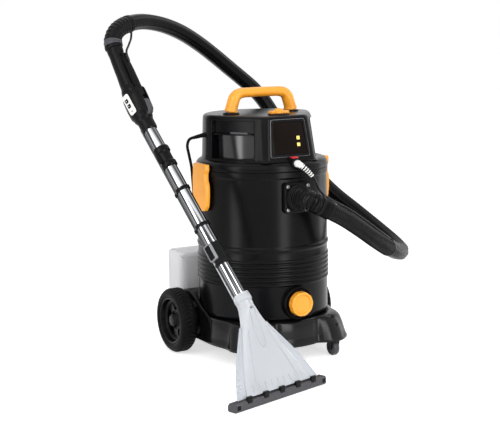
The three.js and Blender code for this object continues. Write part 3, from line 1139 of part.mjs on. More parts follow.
// The clear floor nozzle: a round neck that opens into a flat fan down to the bar.
function addNozzle() {
  const lean = 90 - WAND_RISE;
  const layers = [
    // share of the way up, half width, half thickness
    [0, FAN_WIDTH / 2, 8], [0.25, 122, 8.5], [0.5, 90, 10], [0.68, 60, 12.5], [0.8, 38, 16], [0.88, 26, 19.5],
    [0.94, 21.5, 21], [1.06, 20.5, 20.5],
  ];
  const rings = (shrink) => layers.map(([share, a, b], k) => {
    const t = share;
    const middle = v3(0, t * NECK_REACH, BAR_HEIGHT - 1 + t * (NECK_Z - BAR_HEIGHT + 1));
    const tilt = THREE.MathUtils.lerp(24, lean, Math.min(1, t)) * DEG;
    const flat = v3(0, Math.cos(tilt), -Math.sin(tilt));
    const power = THREE.MathUtils.lerp(0.45, 1, Math.min(1, t / 0.9));
    const end = k === 0 ? -1 : (k === layers.length - 1 ? 1 : 0);
    const along = v3(0, Math.sin(tilt), Math.cos(tilt));
    if (shrink) middle.addScaledVector(along, end * 2);
    return Array.from({ length: 16 }, (_, i) => {
      const turn = (i / 16) * 2 * Math.PI;
      const [cos, sin] = [Math.cos(turn), Math.sin(turn)];
      const x = Math.sign(cos) * Math.abs(cos) ** power * (a - shrink);
      const y = Math.sign(sin) * Math.abs(sin) ** power * (b - shrink);
      return middle.clone().addScaledVector(X_AXIS, x).addScaledVector(flat, y);
    });
  });
  const hollow = rings(FAN_WALL).slice(0, 6);
  const shell = solid(loft(rings(0))).subtract(solid(loft(hollow)));
  const tubeSocket = rod(INNER_TUBE_RADIUS + SEAT_GAP, 2 * NECK_SOCKET, 16).rotateX(-lean * DEG)
    .translate(0, NECK_REACH, NECK_Z);
  add(wand, 'nozzle_body', toGeometry(shell.subtract(solid(tubeSocket))), finish(CLEAR, 0.3));

  const half = BAR_DEPTH / 2;
  const section = [
    [-half, 3], [-half + 3, 0], [half - 3, 0], [half, 3], [half, 14], [half - 5, BAR_HEIGHT - 3],
    [-half + 2, BAR_HEIGHT - 3], [-half, BAR_HEIGHT - 9],
  ];
  const bar = sidewaysPlate(section, BAR_LENGTH);
  const pitch = FAN_WIDTH / BAR_LUGS;
  const lugs = Array.from({ length: BAR_LUGS }, (_, k) => box(18, 6, 16)
    .translate((k - (BAR_LUGS - 1) / 2) * pitch, -half + 3, BAR_HEIGHT - 1));
  const throat = box(FAN_WIDTH - 2 * FAN_WALL - 4, 9, 60).translate(0, 1, 10);
  const fan = rings(-SEAT_GAP);
  const fanSeat = loft(fan.map((ring, k) => (k === 0 ? ring.map((p) => p.clone().setZ(p.z - 3)) : ring)));
  add(wand, 'nozzle_bar', carve([bar, ...lugs], [throat, fanSeat]), finish(GREY, 0.5));
}

function addWandWater() {
  const y = PIPE_OFFSET;
  const upper = pipe(PIPE_RADIUS, PIPE_BORE_RADIUS, GRIP_START + 20 - (OUTER_TUBE_START + 12), 10);
  add(wandTube, 'water_pipe', upper, finish(GREY, 0.4), [0, y, OUTER_TUBE_START + 12]);
  const lower = rod(SPRAY_PIPE_RADIUS, 330, 10).translate(0, 0, 165);
  add(wandTube, 'spray_pipe', lower, finish(STEEL, 0.3, 1), [0, y, -60]);
  const clipAt = [['pipe_clip_upper', 330], ['pipe_clip_lower', 218]];
  for (const [name, at] of clipAt) {
    const ring = pipe(TUBE_RADIUS + 3, TUBE_RADIUS + SEAT_GAP, 9);
    const arm = box(9, y - TUBE_RADIUS + 5, 9).translate(0, (y + TUBE_RADIUS) / 2 + 1.5, 4.5);
    const ear = rod(PIPE_RADIUS + 2.5, 9, 10).translate(0, y, 4.5);
    const pipeHole = rod(PIPE_RADIUS + SEAT_GAP, 40, 10).translate(0, y, 0);
    const tubeHole = rod(TUBE_RADIUS + SEAT_GAP, 40, 16);
    add(wandTube, name, carve([ring, arm, ear], [pipeHole, tubeHole]), finish(BLACK_GLOSS, 0.4), [0, 0, at]);
  }
}

// ----------------------------------------------------------- hose end and water tubes

function addHoseEnd() {
  machine.updateMatrixWorld(true);
  const onWand = (y, s) => wandTube.localToWorld(v3(0, y, s));
  const gripEnd = gripCurve.getPointAt(1);
  const gripAhead = gripCurve.getTangentAt(1);
  const start = onWand(gripEnd.y, gripEnd.z);
  const ahead = gripAhead.clone().transformDirection(wandTube.matrixWorld);
  start.addScaledVector(ahead, SEAT_GAP);
  const end = hoseCurve.getPointAt(1);
  const back = hoseCurve.getTangentAt(1);
  end.addScaledVector(back, SEAT_GAP);
  const bend = new THREE.CubicBezierCurve3(start, start.clone().addScaledVector(ahead, 44),
    end.clone().addScaledVector(back, 40), end);
  const length = bend.getLength();
  const stations = [[0, 22], [3, 25], [9, 25], [10, 23.5], [14, 23.5], [15, 26], [22, 26], [23, 24]];
  const ribs = 6;
  for (let k = 0; k < ribs; k += 1) {
    const at = 23 + ((length - 23 - 12) * (k + 0.5)) / ribs;
    stations.push([at - 2, 22.2], [at + 2, 23.8]);
  }
  stations.push([length - 10, 24], [length, 24]);
  add(machine, 'hose_end_elbow', sweep(bend, stations, 10, 17, 8), finish(BLACK_MATT, 0.5));
}

const PLUG_START = v3(0, COUPLING_FACE_Y - 2 * SEAT_GAP, COUPLING_Z - 3);
// Offsets in Y and Z are from the middle of the coupling's face.
const PLUG_ROUTE = [[0, -5, 0], [2, -11, -1.7], [10, -19, -9.7], [27, -23, -24.7], [42, -25, -38.7]]
  .map(([x, y, z]) => v3(x, COUPLING_FACE_Y + y, COUPLING_Z - 3 + z));
const WATER_TUBE_ROUTE = [[47, -214, 492], [54, -219, 474], [64, -229, 457], [80, -240, 444]]
  .map((p) => v3(...p));
const WATER_TUBE_LIFT = HOSE_RIB_RADIUS + WATER_TUBE_RADIUS + 2;

// A point on top of the hose, `at` millimetres along it.
function onHose(at) {
  const u = at / hoseCurve.getLength();
  const ahead = hoseCurve.getTangentAt(u);
  const up = Z_AXIS.clone().addScaledVector(ahead, -ahead.z).normalize();
  return hoseCurve.getPointAt(u).addScaledVector(up, WATER_TUBE_LIFT);
}

function addWaterTubes() {
  const plugCurve = throughPoints([PLUG_START, ...PLUG_ROUTE]);
  const length = plugCurve.getLength();
  const stations = [[0, 9.5], [8, 9.5], [9, 8.2], [20, 8], [21, 6.8]];
  const ribs = 5;
  for (let k = 0; k < ribs; k += 1) {
    const at = 23 + ((length - 26) * k) / ribs;
    stations.push([at, 7.4 - k * 0.35], [at + 2.6, 7.4 - k * 0.35], [at + 3.2, 5.4 - k * 0.15]);
  }
  stations.push([length, 4.6]);
  add(machine, 'coupling_plug', sweep(plugCurve, stations, 8), finish(WHITE, 0.4));

  const direction = plugCurve.getTangentAt(1);
  const tubeStart = plugCurve.getPointAt(1).addScaledVector(direction, SEAT_GAP);
  const hoseTop = Array.from({ length: 6 }, (_, k) => onHose(30 + ((RIBBED_LENGTH - 44) * k) / 5));
  const tube = throughPoints([tubeStart, tubeStart.clone().addScaledVector(direction, 4), ...WATER_TUBE_ROUTE,
    ...hoseTop]);
  add(machine, 'water_tube', tubeAlong(tube, WATER_TUBE_RADIUS, 6, 22), finish(BLACK_MATT, 0.4));
  const u = 1 - 7 / hoseCurve.getLength();
  const ahead = hoseCurve.getTangentAt(u);
  const down = v3(0.3, -0.45, -0.8);
  down.addScaledVector(ahead, -down.dot(ahead)).normalize();
  const loopStart = hoseCurve.getPointAt(u).addScaledVector(down, SLEEVE_RADIUS + 2 * SEAT_GAP);
  const onWand = (x, y, s) => wandTube.localToWorld(v3(x, y, s));
  const leverTop = -52 - WATER_TUBE_RADIUS - SEAT_GAP;
  const loop = throughPoints([
    loopStart, loopStart.clone().addScaledVector(down, 10), onWand(10, leverTop - 22, 790),
    onWand(4, leverTop - 12, 762), onWand(1, leverTop - 2, 744), onWand(0, leverTop, 728),
    onWand(0, leverTop + 1, 712),
  ]);
  add(machine, 'water_tube_loop', tubeAlong(loop, WATER_TUBE_RADIUS, 6, 14), finish(BLACK_MATT, 0.4));
}

// ------------------------------------------------------------------------- mains lead

const LEAD_ROUTE = [
  [-197, 53, 600], [-200, 58, 584], [-195, 59, 558], [-185, 66, 525], [-177, 76, 485], [-168, 88, 445],
  [-152, 112, 400], [-128, 140, 360], [-98, 170, 322], [-66, 203, 288], [-35, 232, 267], [8, 256, 264.6],
  [28, 268, 266.5], [44, 282, 268], [56, 296, 262], [62, 306, 246], [63, 311, 225], [62, 312, 190],
  [60, 312, 150], [58, 313, 105], [57, 322, 58], [57.5, 341, 24], [57.8, 366, 8.5], [57.8, 392, 4.8],
].map((p) => v3(...p));

// The put-away length: flat spirals in layers, inward and outward by turns, climbing
// one layer in the half turn where the spiral reverses.
function coilPoints() {
  const points = [];
  const swing = (LEAD_TURNS_PER_LAYER * LEAD_COIL_PITCH) / 2;
  const [inner, outer] = [LEAD_COIL_RADIUS - swing, LEAD_COIL_RADIUS + swing];
  const perTurn = 12;
  let angle = Math.PI;
  const floorZ = LEAD_RADIUS + SEAT_GAP + 0.1;
  const push = (radius, z) => points.push(v3(LEAD_COIL_CENTRE.x + radius * Math.cos(angle),
    LEAD_COIL_CENTRE.y + radius * Math.sin(angle), z));
  for (let layer = 0; layer < LEAD_COIL_LAYERS; layer += 1) {
    const inward = layer % 2 === 0;
    const z = floorZ + layer * LEAD_COIL_PITCH;
    const steps = LEAD_TURNS_PER_LAYER * perTurn;
    for (let k = 0; k < steps; k += 1) {
      const t = k / steps;
      push(inward ? outer - 2 * swing * t : inner + 2 * swing * t, z);
      angle -= (2 * Math.PI) / perTurn;
    }
    if (layer === LEAD_COIL_LAYERS - 1) break;
    const held = inward ? inner : outer;
    for (let k = 0; k < perTurn / 2; k += 1) {
      push(held, z + (LEAD_COIL_PITCH * k) / (perTurn / 2));
      angle -= (2 * Math.PI) / perTurn;
    }
  }
  push(outer, floorZ + (LEAD_COIL_LAYERS - 1) * LEAD_COIL_PITCH);
  const heading = angle - Math.PI / 2;
  const last = points[points.length - 1];
  const top = last.z;
  const tail = [
    [20, 0, -0.4], [38, 2, -4], [58, 6, -14], [78, 10, -24], [98, 14, floorZ - top + 0.5],
    [118, 18, floorZ - top],
  ];
  const side = heading + Math.PI / 2;
  for (const [along, aside, drop] of tail) {
    points.push(v3(last.x + along * Math.cos(heading) + aside * Math.cos(side),
      last.y + along * Math.sin(heading) + aside * Math.sin(side), top + drop));
  }
  points.unshift(points[0].clone().add(v3(0, -LEAD_IN, 0)));
  return points;
}

// The least distance between the surfaces of two turns of the coil.
function leastCoilGap(points) {
  let least = Infinity;
  for (let i = 0; i < points.length; i += 1) {
    for (let j = i + 5; j < points.length; j += 1) {
      least = Math.min(least, points[i].distanceTo(points[j]));
    }
  }
  return least - 2 * LEAD_RADIUS;
}

function addLead() {
  const coil = coilPoints();
  const join = coil[0];
  const bootAhead = BOOT_END.clone().sub(BOOT_START).normalize();
  const lead = throughPoints([
    BOOT_END.clone().addScaledVector(bootAhead, SEAT_GAP), BOOT_END.clone().addScaledVector(bootAhead, 5),
    ...LEAD_ROUTE, join.clone().add(v3(0, -LEAD_IN, 0)), join.clone().add(v3(0, -SEAT_GAP, 0)),
  ]);
  add(machine, 'mains_lead', tubeAlong(lead, LEAD_RADIUS, 6, 36), finish(BLACK_MATT, 0.6));
  const coilCurve = throughPoints(coil);
  coilCurve.arcLengthDivisions = 3000;
  const coilLength = coilCurve.getLength();
  const frames = framesAt(coilCurve, coil.map((_, k) => k / (coil.length - 1)));
  add(machine, 'mains_coil', loft(frames.map((frame) => ringOn(frame, LEAD_RADIUS, LEAD_RADIUS, 5))),
    finish(BLACK_MATT, 0.6));
  const leadLength = (lead.getLength() + coilLength).toFixed(0);
  console.log(`lead ${leadLength} mm, coil gap ${leastCoilGap(coil).toFixed(2)} mm`);

  const end = coilCurve.getPointAt(1);
  const ahead = coilCurve.getTangentAt(1);
  const plug = new THREE.Group();
  plug.position.copy(end).addScaledVector(ahead, SEAT_GAP);
  plug.rotation.z = Math.atan2(ahead.y, ahead.x);
  machine.add(plug);
  add(plug, 'mains_plug', mainsPlug(end.z), finish(BLACK_MATT, 0.5));
}

// A three-pin plug lying on its side, the lead entering along +X.
function mainsPlug(height) {
  const boot = sweep(new THREE.LineCurve3(v3(1, 0, 0.1), v3(24, 0, 3.2)), [[0, 4.2], [23, 7]], 12);
  const body = loft([[22, 11, 8], [30, 20, 12], [50, 24, 16], [62, 24, 16]].map(([x, half, rise]) => [
    v3(x, -half, -height + 0.3), v3(x, half, -height + 0.3), v3(x, half, -height + 2 * rise - 4),
    v3(x, half - 5, -height + 2 * rise), v3(x, -half + 5, -height + 2 * rise),
    v3(x, -half, -height + 2 * rise - 4),
  ]));
  const pins = [[-11, 10], [11, 10], [0, 22]].map(([y, z]) => box(18, 6, 4).translate(70, y, -height + z));
  return carve([body, boot, ...pins]);
}

addBase();
addWheels();
addCasters();
addDrum();
addInlet();
addHose();
addHead();
addHeadFittings();
addHeadInside();
addLatches();
addTank();
addWandTubes();
addGrip();
addNozzle();
addWandWater();
addHoseEnd();
addWaterTubes();
addLead();

// The origin goes to the middle of the footprint, the lead and the hoses left out.
const LOOSE = [
  'ribbed_hose', 'sleeved_hose', 'water_tube', 'water_tube_loop', 'mains_lead', 'mains_coil', 'mains_plug',
];
machine.updateMatrixWorld(true);
const bounds = new THREE.Box3();
machine.traverse((node) => {
  if (node.isMesh && !LOOSE.includes(node.name)) bounds.expandByObject(node, true);
});
const middle = bounds.getCenter(v3(0, 0, 0));
const group = new THREE.Group();
machine.position.set(-middle.x, -middle.y, -bounds.min.z);
group.add(machine);

export default group;
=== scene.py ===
# %% [markdown]
# # A carpet washer with hose and wand
# The machine is a black drum on a wheeled base, with a motor head clamped on top, a
# clean-water tank behind, and a wand with a clear floor nozzle. The measured solids
# come first, as a frame that already knows how everything moves. Each cell then makes
# one piece of the look in the same place, and ties it to the body it moves with.

import math

import bmesh
import bpy
from mathutils import Matrix, Vector


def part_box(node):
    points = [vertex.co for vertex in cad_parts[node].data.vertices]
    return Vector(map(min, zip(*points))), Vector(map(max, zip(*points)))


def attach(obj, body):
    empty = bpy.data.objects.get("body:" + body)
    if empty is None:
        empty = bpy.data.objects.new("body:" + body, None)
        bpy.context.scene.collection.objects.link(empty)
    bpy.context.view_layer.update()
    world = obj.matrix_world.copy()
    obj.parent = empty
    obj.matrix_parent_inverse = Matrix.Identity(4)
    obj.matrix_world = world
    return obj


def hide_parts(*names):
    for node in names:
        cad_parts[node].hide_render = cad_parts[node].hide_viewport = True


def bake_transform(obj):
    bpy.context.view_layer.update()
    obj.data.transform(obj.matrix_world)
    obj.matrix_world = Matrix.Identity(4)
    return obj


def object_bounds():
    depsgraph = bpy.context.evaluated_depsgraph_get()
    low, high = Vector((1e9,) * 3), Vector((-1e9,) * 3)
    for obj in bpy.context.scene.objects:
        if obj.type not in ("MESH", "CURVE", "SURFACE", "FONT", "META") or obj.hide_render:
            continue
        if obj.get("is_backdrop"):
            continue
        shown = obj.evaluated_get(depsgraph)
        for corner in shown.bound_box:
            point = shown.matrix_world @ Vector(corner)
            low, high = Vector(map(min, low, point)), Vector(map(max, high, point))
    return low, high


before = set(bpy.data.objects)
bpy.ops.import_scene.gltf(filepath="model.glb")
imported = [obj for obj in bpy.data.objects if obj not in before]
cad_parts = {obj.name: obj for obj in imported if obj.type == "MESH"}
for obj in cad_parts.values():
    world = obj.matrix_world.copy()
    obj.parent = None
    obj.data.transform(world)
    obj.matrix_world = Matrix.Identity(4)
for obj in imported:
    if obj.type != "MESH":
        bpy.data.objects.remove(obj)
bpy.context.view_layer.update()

# %% [markdown]
# The drawing is in millimetres, round the drum's axis, with the front towards -Y. Three
# matrices take those numbers into the frame's metres: one for the machine, one for the
# wand as it stands on its nozzle, turned a little, and one for the wand's tube, which
# leans back. With them a piece can be drawn straight and still land where it belongs.

# %% Frames to draw in
def shift(x, y, z):
    """A move along the three axes."""
    return Matrix.Translation((x, y, z))


def spin(degrees, axis):
    """A turn round one axis."""
    return Matrix.Rotation(math.radians(degrees), 4, axis)


seal_low, seal_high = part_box("drum_seal")
AXIS = ((seal_low[0] + seal_high[0]) / 2, (seal_low[1] + seal_high[1]) / 2)
MACHINE = shift(AXIS[0], AXIS[1], 0) @ Matrix.Scale(0.001, 4)
WAND_TURN, LEAN = 17.2, 38.75
NECK = (0, 117, 229.6)
WAND = MACHINE @ shift(-208.8, -431.6, 0) @ spin(WAND_TURN, "Z")
TUBE = WAND @ shift(*NECK) @ spin(-LEAN, "X")
SIDES = (("left", -1), ("right", 1))
print("drum axis at x = %.4f, y = %.4f m" % AXIS)

# %% [markdown]
# The photograph was taken from the machine's front left, a little above it. The camera
# here has the place, the direction and the focal length that were worked out from the
# drum, the wheel and the nozzle, so that the render lines up with it.

# %% Camera
eye = MACHINE @ Vector((-1789.715, -3106.134, 944.53))
camera = bpy.data.objects.new("camera", bpy.data.cameras.new("camera"))
bpy.context.scene.collection.objects.link(camera)
right = Vector((0.87003889, -0.49278028, -0.01413929))
up = Vector((0.08832362, 0.12759638, 0.98788567))
ahead = Vector((0.48500645, 0.86074779, -0.15453795))
camera.matrix_world = Matrix((
    (right.x, up.x, -ahead.x, eye.x),
    (right.y, up.y, -ahead.y, eye.y),
    (right.z, up.z, -ahead.z, eye.z),
    (0, 0, 0, 1),
))
camera.data.lens = 93.65
camera.data.sensor_width = 36
bpy.context.scene.camera = camera
print("camera %.2f m from the drum" % (eye - Vector((AXIS[0], AXIS[1], 0.4))).length)

# %% [markdown]
# Every piece ends in the same few calls: make the mesh, shade it, give it a material,
# and let it ride on a body. `piece` does that. The shapes before it only return points
# and faces, so that one shape can be joined with another first.

# %% From points to a piece
def joined(*shapes):
    """Several shapes as one list of points and one of faces."""
    points, faces = [], []
    for more_points, more_faces in shapes:
        start = len(points)
        points.extend(more_points)
        faces.extend(tuple(i + start for i in face) for face in more_faces)
    return points, faces


def moved(shape, matrix):
    """A shape carried by a matrix."""
    points, faces = shape
    return [matrix @ Vector(p) for p in points], faces


def mirrored(shape):
    """A shape on the other side of the machine."""
    points, faces = shape
    return [Vector((-p[0], p[1], p[2])) for p in points], faces


def piece(name, shape, body, material, place=MACHINE, instead=(), crease=35, bevel=0.0):
    """A mesh object that rides on a body, if one is named, with the CAD nodes it stands for."""
    points, faces = shape
    mesh = bpy.data.meshes.new(name)
    mesh.from_pydata([place @ Vector(p) for p in points], [], faces)
    edit = bmesh.new()
    edit.from_mesh(mesh)
    bmesh.ops.remove_doubles(edit, verts=edit.verts, dist=1e-6)
    bmesh.ops.recalc_face_normals(edit, faces=edit.faces)
    edit.to_mesh(mesh)
    edit.free()
    mesh.materials.append(material)
    mesh.polygons.foreach_set("use_smooth", [True] * len(mesh.polygons))
    mesh.set_sharp_from_angle(angle=math.radians(crease))
    made = bpy.data.objects.new(name, mesh)
    bpy.context.scene.collection.objects.link(made)
    if bevel:
        rounding = made.modifiers.new("rounding", "BEVEL")
        rounding.width = bevel / 1000
        rounding.segments = 2
        rounding.limit_method = "ANGLE"
        rounding.angle_limit = math.radians(crease)
        rounding.harden_normals = True
    if body:
        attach(made, body)
    if instead:
        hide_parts(*instead)
    return made


def part(name, shape, body, material, **rest):
    """A piece that stands for the CAD node of its own name."""
    return piece(name + "_look", shape, body, material, instead=(name,), **rest)



print("a piece is a mesh that rides on a body")

# %% [markdown]
# Moulded parts have no sharp corners. `rounded` takes a drawn outline and puts a small
# curve at each corner, which later catches the light as a real edge does.

# %% Outlines
def rounded(points, radius, closed=False, steps=4):
    """An outline with its corners rounded, no further than half of an edge."""
    points = [Vector(p) for p in points]
    count = len(points)
    result = []
    for k, corner in enumerate(points):
        if not closed and k in (0, count - 1):
            result.append(corner)
            continue
        before, after = points[k - 1], points[(k + 1) % count]
        reach_in = min(radius, (before - corner).length * 0.48)
        reach_out = min(radius, (after - corner).length * 0.48)
        start = corner + (before - corner).normalized() * reach_in
        end = corner + (after - corner).normalized() * reach_out
        for i in range(steps + 1):
            t = i / steps
            result.append(start * (1 - t) ** 2 + corner * 2 * t * (1 - t) + end * t ** 2)
    return result


def box_outline(width, depth, radius, steps=4):
    """A rectangle round the origin, its corners rounded."""
    w, d = width / 2, depth / 2
    return rounded([(-w, -d, 0), (w, -d, 0), (w, d, 0), (-w, d, 0)], radius, closed=True, steps=steps)


def curve_through(points, spans=12):
    """A smooth curve through points, spaced so that it neither loops nor overshoots."""
    points = [Vector(p) for p in points]
    ends = [points[0] * 2 - points[1]] + points + [points[-1] * 2 - points[-2]]
    result = []
    for k in range(1, len(ends) - 2):
        p0, p1, p2, p3 = ends[k - 1:k + 3]
        d0, d1, d2 = ((b - a).length ** 0.5 for a, b in ((p0, p1), (p1, p2), (p2, p3)))
        t1 = ((p1 - p0) / d0 - (p2 - p0) / (d0 + d1) + (p2 - p1) / d1) * d1
        t2 = ((p2 - p1) / d1 - (p3 - p1) / (d1 + d2) + (p3 - p2) / d2) * d1
        for i in range(spans):
            t = i / spans
            result.append(p1 * (2 * t ** 3 - 3 * t ** 2 + 1) + t1 * (t ** 3 - 2 * t ** 2 + t)
                          + p2 * (-2 * t ** 3 + 3 * t ** 2) + t2 * (t ** 3 - t ** 2))
    return result + [points[-1]]


def length_of(path):
    return sum((b - a).length for a, b in zip(path, path[1:]))


def spaced(path, step):
    """Points at equal distances along a path, its two ends kept."""
    total = length_of(path)
    count = max(2, round(total / step))
    result, walked, k = [path[0].copy()], 0.0, 0
    for i in range(1, count):
        target = total * i / count
        while walked + (path[k + 1] - path[k]).length < target:
            walked += (path[k + 1] - path[k]).length
            k += 1
        share = (target - walked) / (path[k + 1] - path[k]).length
        result.append(path[k].lerp(path[k + 1], share))
    return result + [path[-1].copy()]


print("a rounded square has %d points" % len(box_outline(10, 10, 2)))

# %% [markdown]
# Four ways of filling space cover nearly everything on this machine: turn an outline
# round an axis, push it along a line, skin over a row of rings, or sweep a ring along
# a path. Turning suits the drum and the wheels, sweeping suits tubes and hoses.

# %% Shapes
def turned(profile, count=96, closed=False):
    """A profile of (radius, height) turned round Z. Points on the axis close it."""
    points, faces, rows = [], [], []
    for p in profile:
        r, z = p[0], p[1]
        if r < 1e-6:
            rows.append([len(points)] * count)
            points.append(Vector((0, 0, z)))
        else:
            rows.append(list(range(len(points), len(points) + count)))
            points.extend(Vector((r * math.cos(2 * math.pi * k / count),
                                  r * math.sin(2 * math.pi * k / count), z))
                          for k in range(count))
    pairs = list(zip(rows, rows[1:]))
    if closed:
        pairs.append((rows[-1], rows[0]))
    for low, high in pairs:
        for k in range(count):
            face = [low[k], low[(k + 1) % count], high[(k + 1) % count], high[k]]
            face = [v for i, v in enumerate(face) if v not in face[:i]]
            if len(face) > 2:
                faces.append(tuple(face))
    return points, faces


def rod(radius, low, high, count):
    """A plain round bar, upright on the axis."""
    return turned([(0, low), (radius, low), (radius, high), (0, high)], count)


def skinned(rings, closed=False):
    """A skin over rings of equal count, its two ends capped unless it is closed."""
    count = len(rings[0])
    points = [Vector(p) for ring in rings for p in ring]
    faces = []
    last = len(rings) if closed else len(rings) - 1
    for i in range(last):
        low, high = i * count, ((i + 1) % len(rings)) * count
        for k in range(count):
            side = (k + 1) % count
            faces.append((low + k, low + side, high + side, high + k))
    if not closed:
        faces.append(tuple(reversed(range(count))))
        faces.append(tuple(range(len(points) - count, len(points))))
    return points, faces


def pushed(outline, low, high):
    """An outline in X and Y, pushed from one height to another."""
    return skinned([[Vector((p[0], p[1], z)) for p in outline] for z in (low, high)])


def block(xs, ys, zs, radius, steps=4):
    """A box between two values on each axis, its upright edges rounded."""
    corners = [(xs[0], ys[0], 0), (xs[1], ys[0], 0), (xs[1], ys[1], 0), (xs[0], ys[1], 0)]
    return pushed(rounded(corners, radius, closed=True, steps=steps), *zs)


def frames_on(path, hint=None):
    """(point, side, other, ahead) along a path, without twist."""
    result, side = [], None
    for k, point in enumerate(path):
        before, after = path[max(k - 1, 0)], path[min(k + 1, len(path) - 1)]
        ahead_here = (after - before).normalized()
        if side is None:
            side = hint or (Vector((0, 0, 1)) if abs(ahead_here.z) < 0.9 else Vector((1, 0, 0)))
        side = (side - ahead_here * side.dot(ahead_here)).normalized()
        result.append((point, side.copy(), ahead_here.cross(side), ahead_here))
    return result


def walk(path, hint=None):
    """The frames on a path, each with the distance walked to it."""
    result, walked, before = [], 0.0, path[0]
    for frame_here in frames_on(path, hint):
        walked += (frame_here[0] - before).length
        before = frame_here[0]
        result.append((walked, *frame_here))
    return result


def oval(point, side, other, wide, deep, count):
    """A ring of points round a place. The radii may be numbers or functions of the turn."""
    ring = []
    for k in range(count):
        turn = 2 * math.pi * k / count
        a, b = (r(turn) if callable(r) else r for r in (wide, deep))
        ring.append(point + side * (a * math.cos(turn)) + other * (b * math.sin(turn)))
    return ring


def swept(path, radius, count=24, bore=None, hint=None):
    """A round bar along a path. `radius` may be a number or a function of (distance, turn)."""
    rings, steps = [], walk(path, hint)
    for walked, point, side, other, _ in steps:
        r = (lambda turn: radius(walked, turn)) if callable(radius) else radius
        rings.append(oval(point, side, other, r, r, count))
    if not bore:
        return skinned(rings)
    inner = [oval(*step[1:4], bore, bore, count) for step in steps[::4] + steps[-1:]]
    return skinned(rings + inner[::-1], closed=True)


def cut_by(made, *tools):
    """Takes other meshes out of a piece and deletes them."""
    for tool in tools:
        cut = made.modifiers.new("cut", "BOOLEAN")
        cut.operation = "DIFFERENCE"
        cut.object = tool
        cut.solver = "EXACT"
    bake(made)
    for tool in tools:
        bpy.data.objects.remove(tool, do_unlink=True)


def bake(made):
    """Turns a piece's modifiers into its mesh."""
    depsgraph = bpy.context.evaluated_depsgraph_get()
    result = bpy.data.meshes.new_from_object(made.evaluated_get(depsgraph))
    old = made.data
    made.modifiers.clear()
    made.data = result
    made.data.name = old.name
    bpy.data.meshes.remove(old)
    made.data.polygons.foreach_set("use_smooth", [True] * len(made.data.polygons))
    made.data.set_sharp_from_angle(angle=math.radians(35))


def tool(shape, place=MACHINE):
    """A loose mesh that only cuts."""
    points, faces = shape
    mesh = bpy.data.meshes.new("tool")
    mesh.from_pydata([place @ Vector(p) for p in points], [], faces)
    edit = bmesh.new()
    edit.from_mesh(mesh)
    bmesh.ops.recalc_face_normals(edit, faces=edit.faces)
    edit.to_mesh(mesh)
    edit.free()
    made = bpy.data.objects.new("tool", mesh)
    bpy.context.scene.collection.objects.link(made)
    return made


print("a turned ring has %d faces" % len(turned([(1, 0), (2, 0), (2, 1), (1, 1)], 24, closed=True)[1]))

# %% [markdown]
# ## Finishes
# Plastic is never one flat value. It has a faint moulded texture, a little dust in
# places and rubbed patches that shine differently. These effects are node groups, so
# that every plastic can use them with its own strength.

# %% Shared effects
def new_group(name, inputs, outputs):
    """An empty node group with its sockets."""
    group = bpy.data.node_groups.new(name, "ShaderNodeTree")
    for label, value in inputs:
        socket = group.interface.new_socket(label, in_out="INPUT", socket_type="NodeSocketFloat")
        socket.default_value = value
    for label, kind in outputs:
        group.interface.new_socket(label, in_out="OUTPUT", socket_type=kind)
    return group, group.nodes.new("NodeGroupInput"), group.nodes.new("NodeGroupOutput")


def fill(node, values):
    """Sets a node's inputs by name."""
    for label, value in values.items():
        node.inputs[label].default_value = value


def maths(nodes, links, operation, a, b=None):
    """The result of a sum with one or two values, each a number or a socket."""
    node = nodes.new("ShaderNodeMath")
    node.operation = operation
    for k, value in enumerate((a, b)):
        if value is None:
            continue
        if isinstance(value, (int, float)):
            node.inputs[k].default_value = value
        else:
            links.new(value, node.inputs[k])
    return node.outputs[0]


def make_moulded():
    """Height of a fine moulded grain and a slow variation in how the surface shines."""
    group, inside, outside = new_group(
        "moulded_surface",
        [("Grain Size", 900.0), ("Grain", 1.0), ("Patch Size", 9.0), ("Base", 0.4), ("Spread", 0.1)],
        [("Height", "NodeSocketFloat"), ("Roughness", "NodeSocketFloat")],
    )
    nodes, links = group.nodes, group.links
    place = nodes.new("ShaderNodeTexCoord")
    grain = nodes.new("ShaderNodeTexNoise")
    fill(grain, {"Detail": 3})
    links.new(place.outputs["Object"], grain.inputs["Vector"])
    links.new(inside.outputs["Grain Size"], grain.inputs["Scale"])
    height = maths(nodes, links, "MULTIPLY", grain.outputs["Fac"], inside.outputs["Grain"])
    links.new(height, outside.inputs["Height"])
    patches = nodes.new("ShaderNodeTexNoise")
    fill(patches, {"Detail": 5, "Roughness": 0.65})
    links.new(place.outputs["Object"], patches.inputs["Vector"])
    links.new(inside.outputs["Patch Size"], patches.inputs["Scale"])
    centred = maths(nodes, links, "SUBTRACT", patches.outputs["Fac"], 0.5)
    spread = maths(nodes, links, "MULTIPLY", centred, inside.outputs["Spread"])
    links.new(maths(nodes, links, "ADD", spread, inside.outputs["Base"]), outside.inputs["Roughness"])
    return group


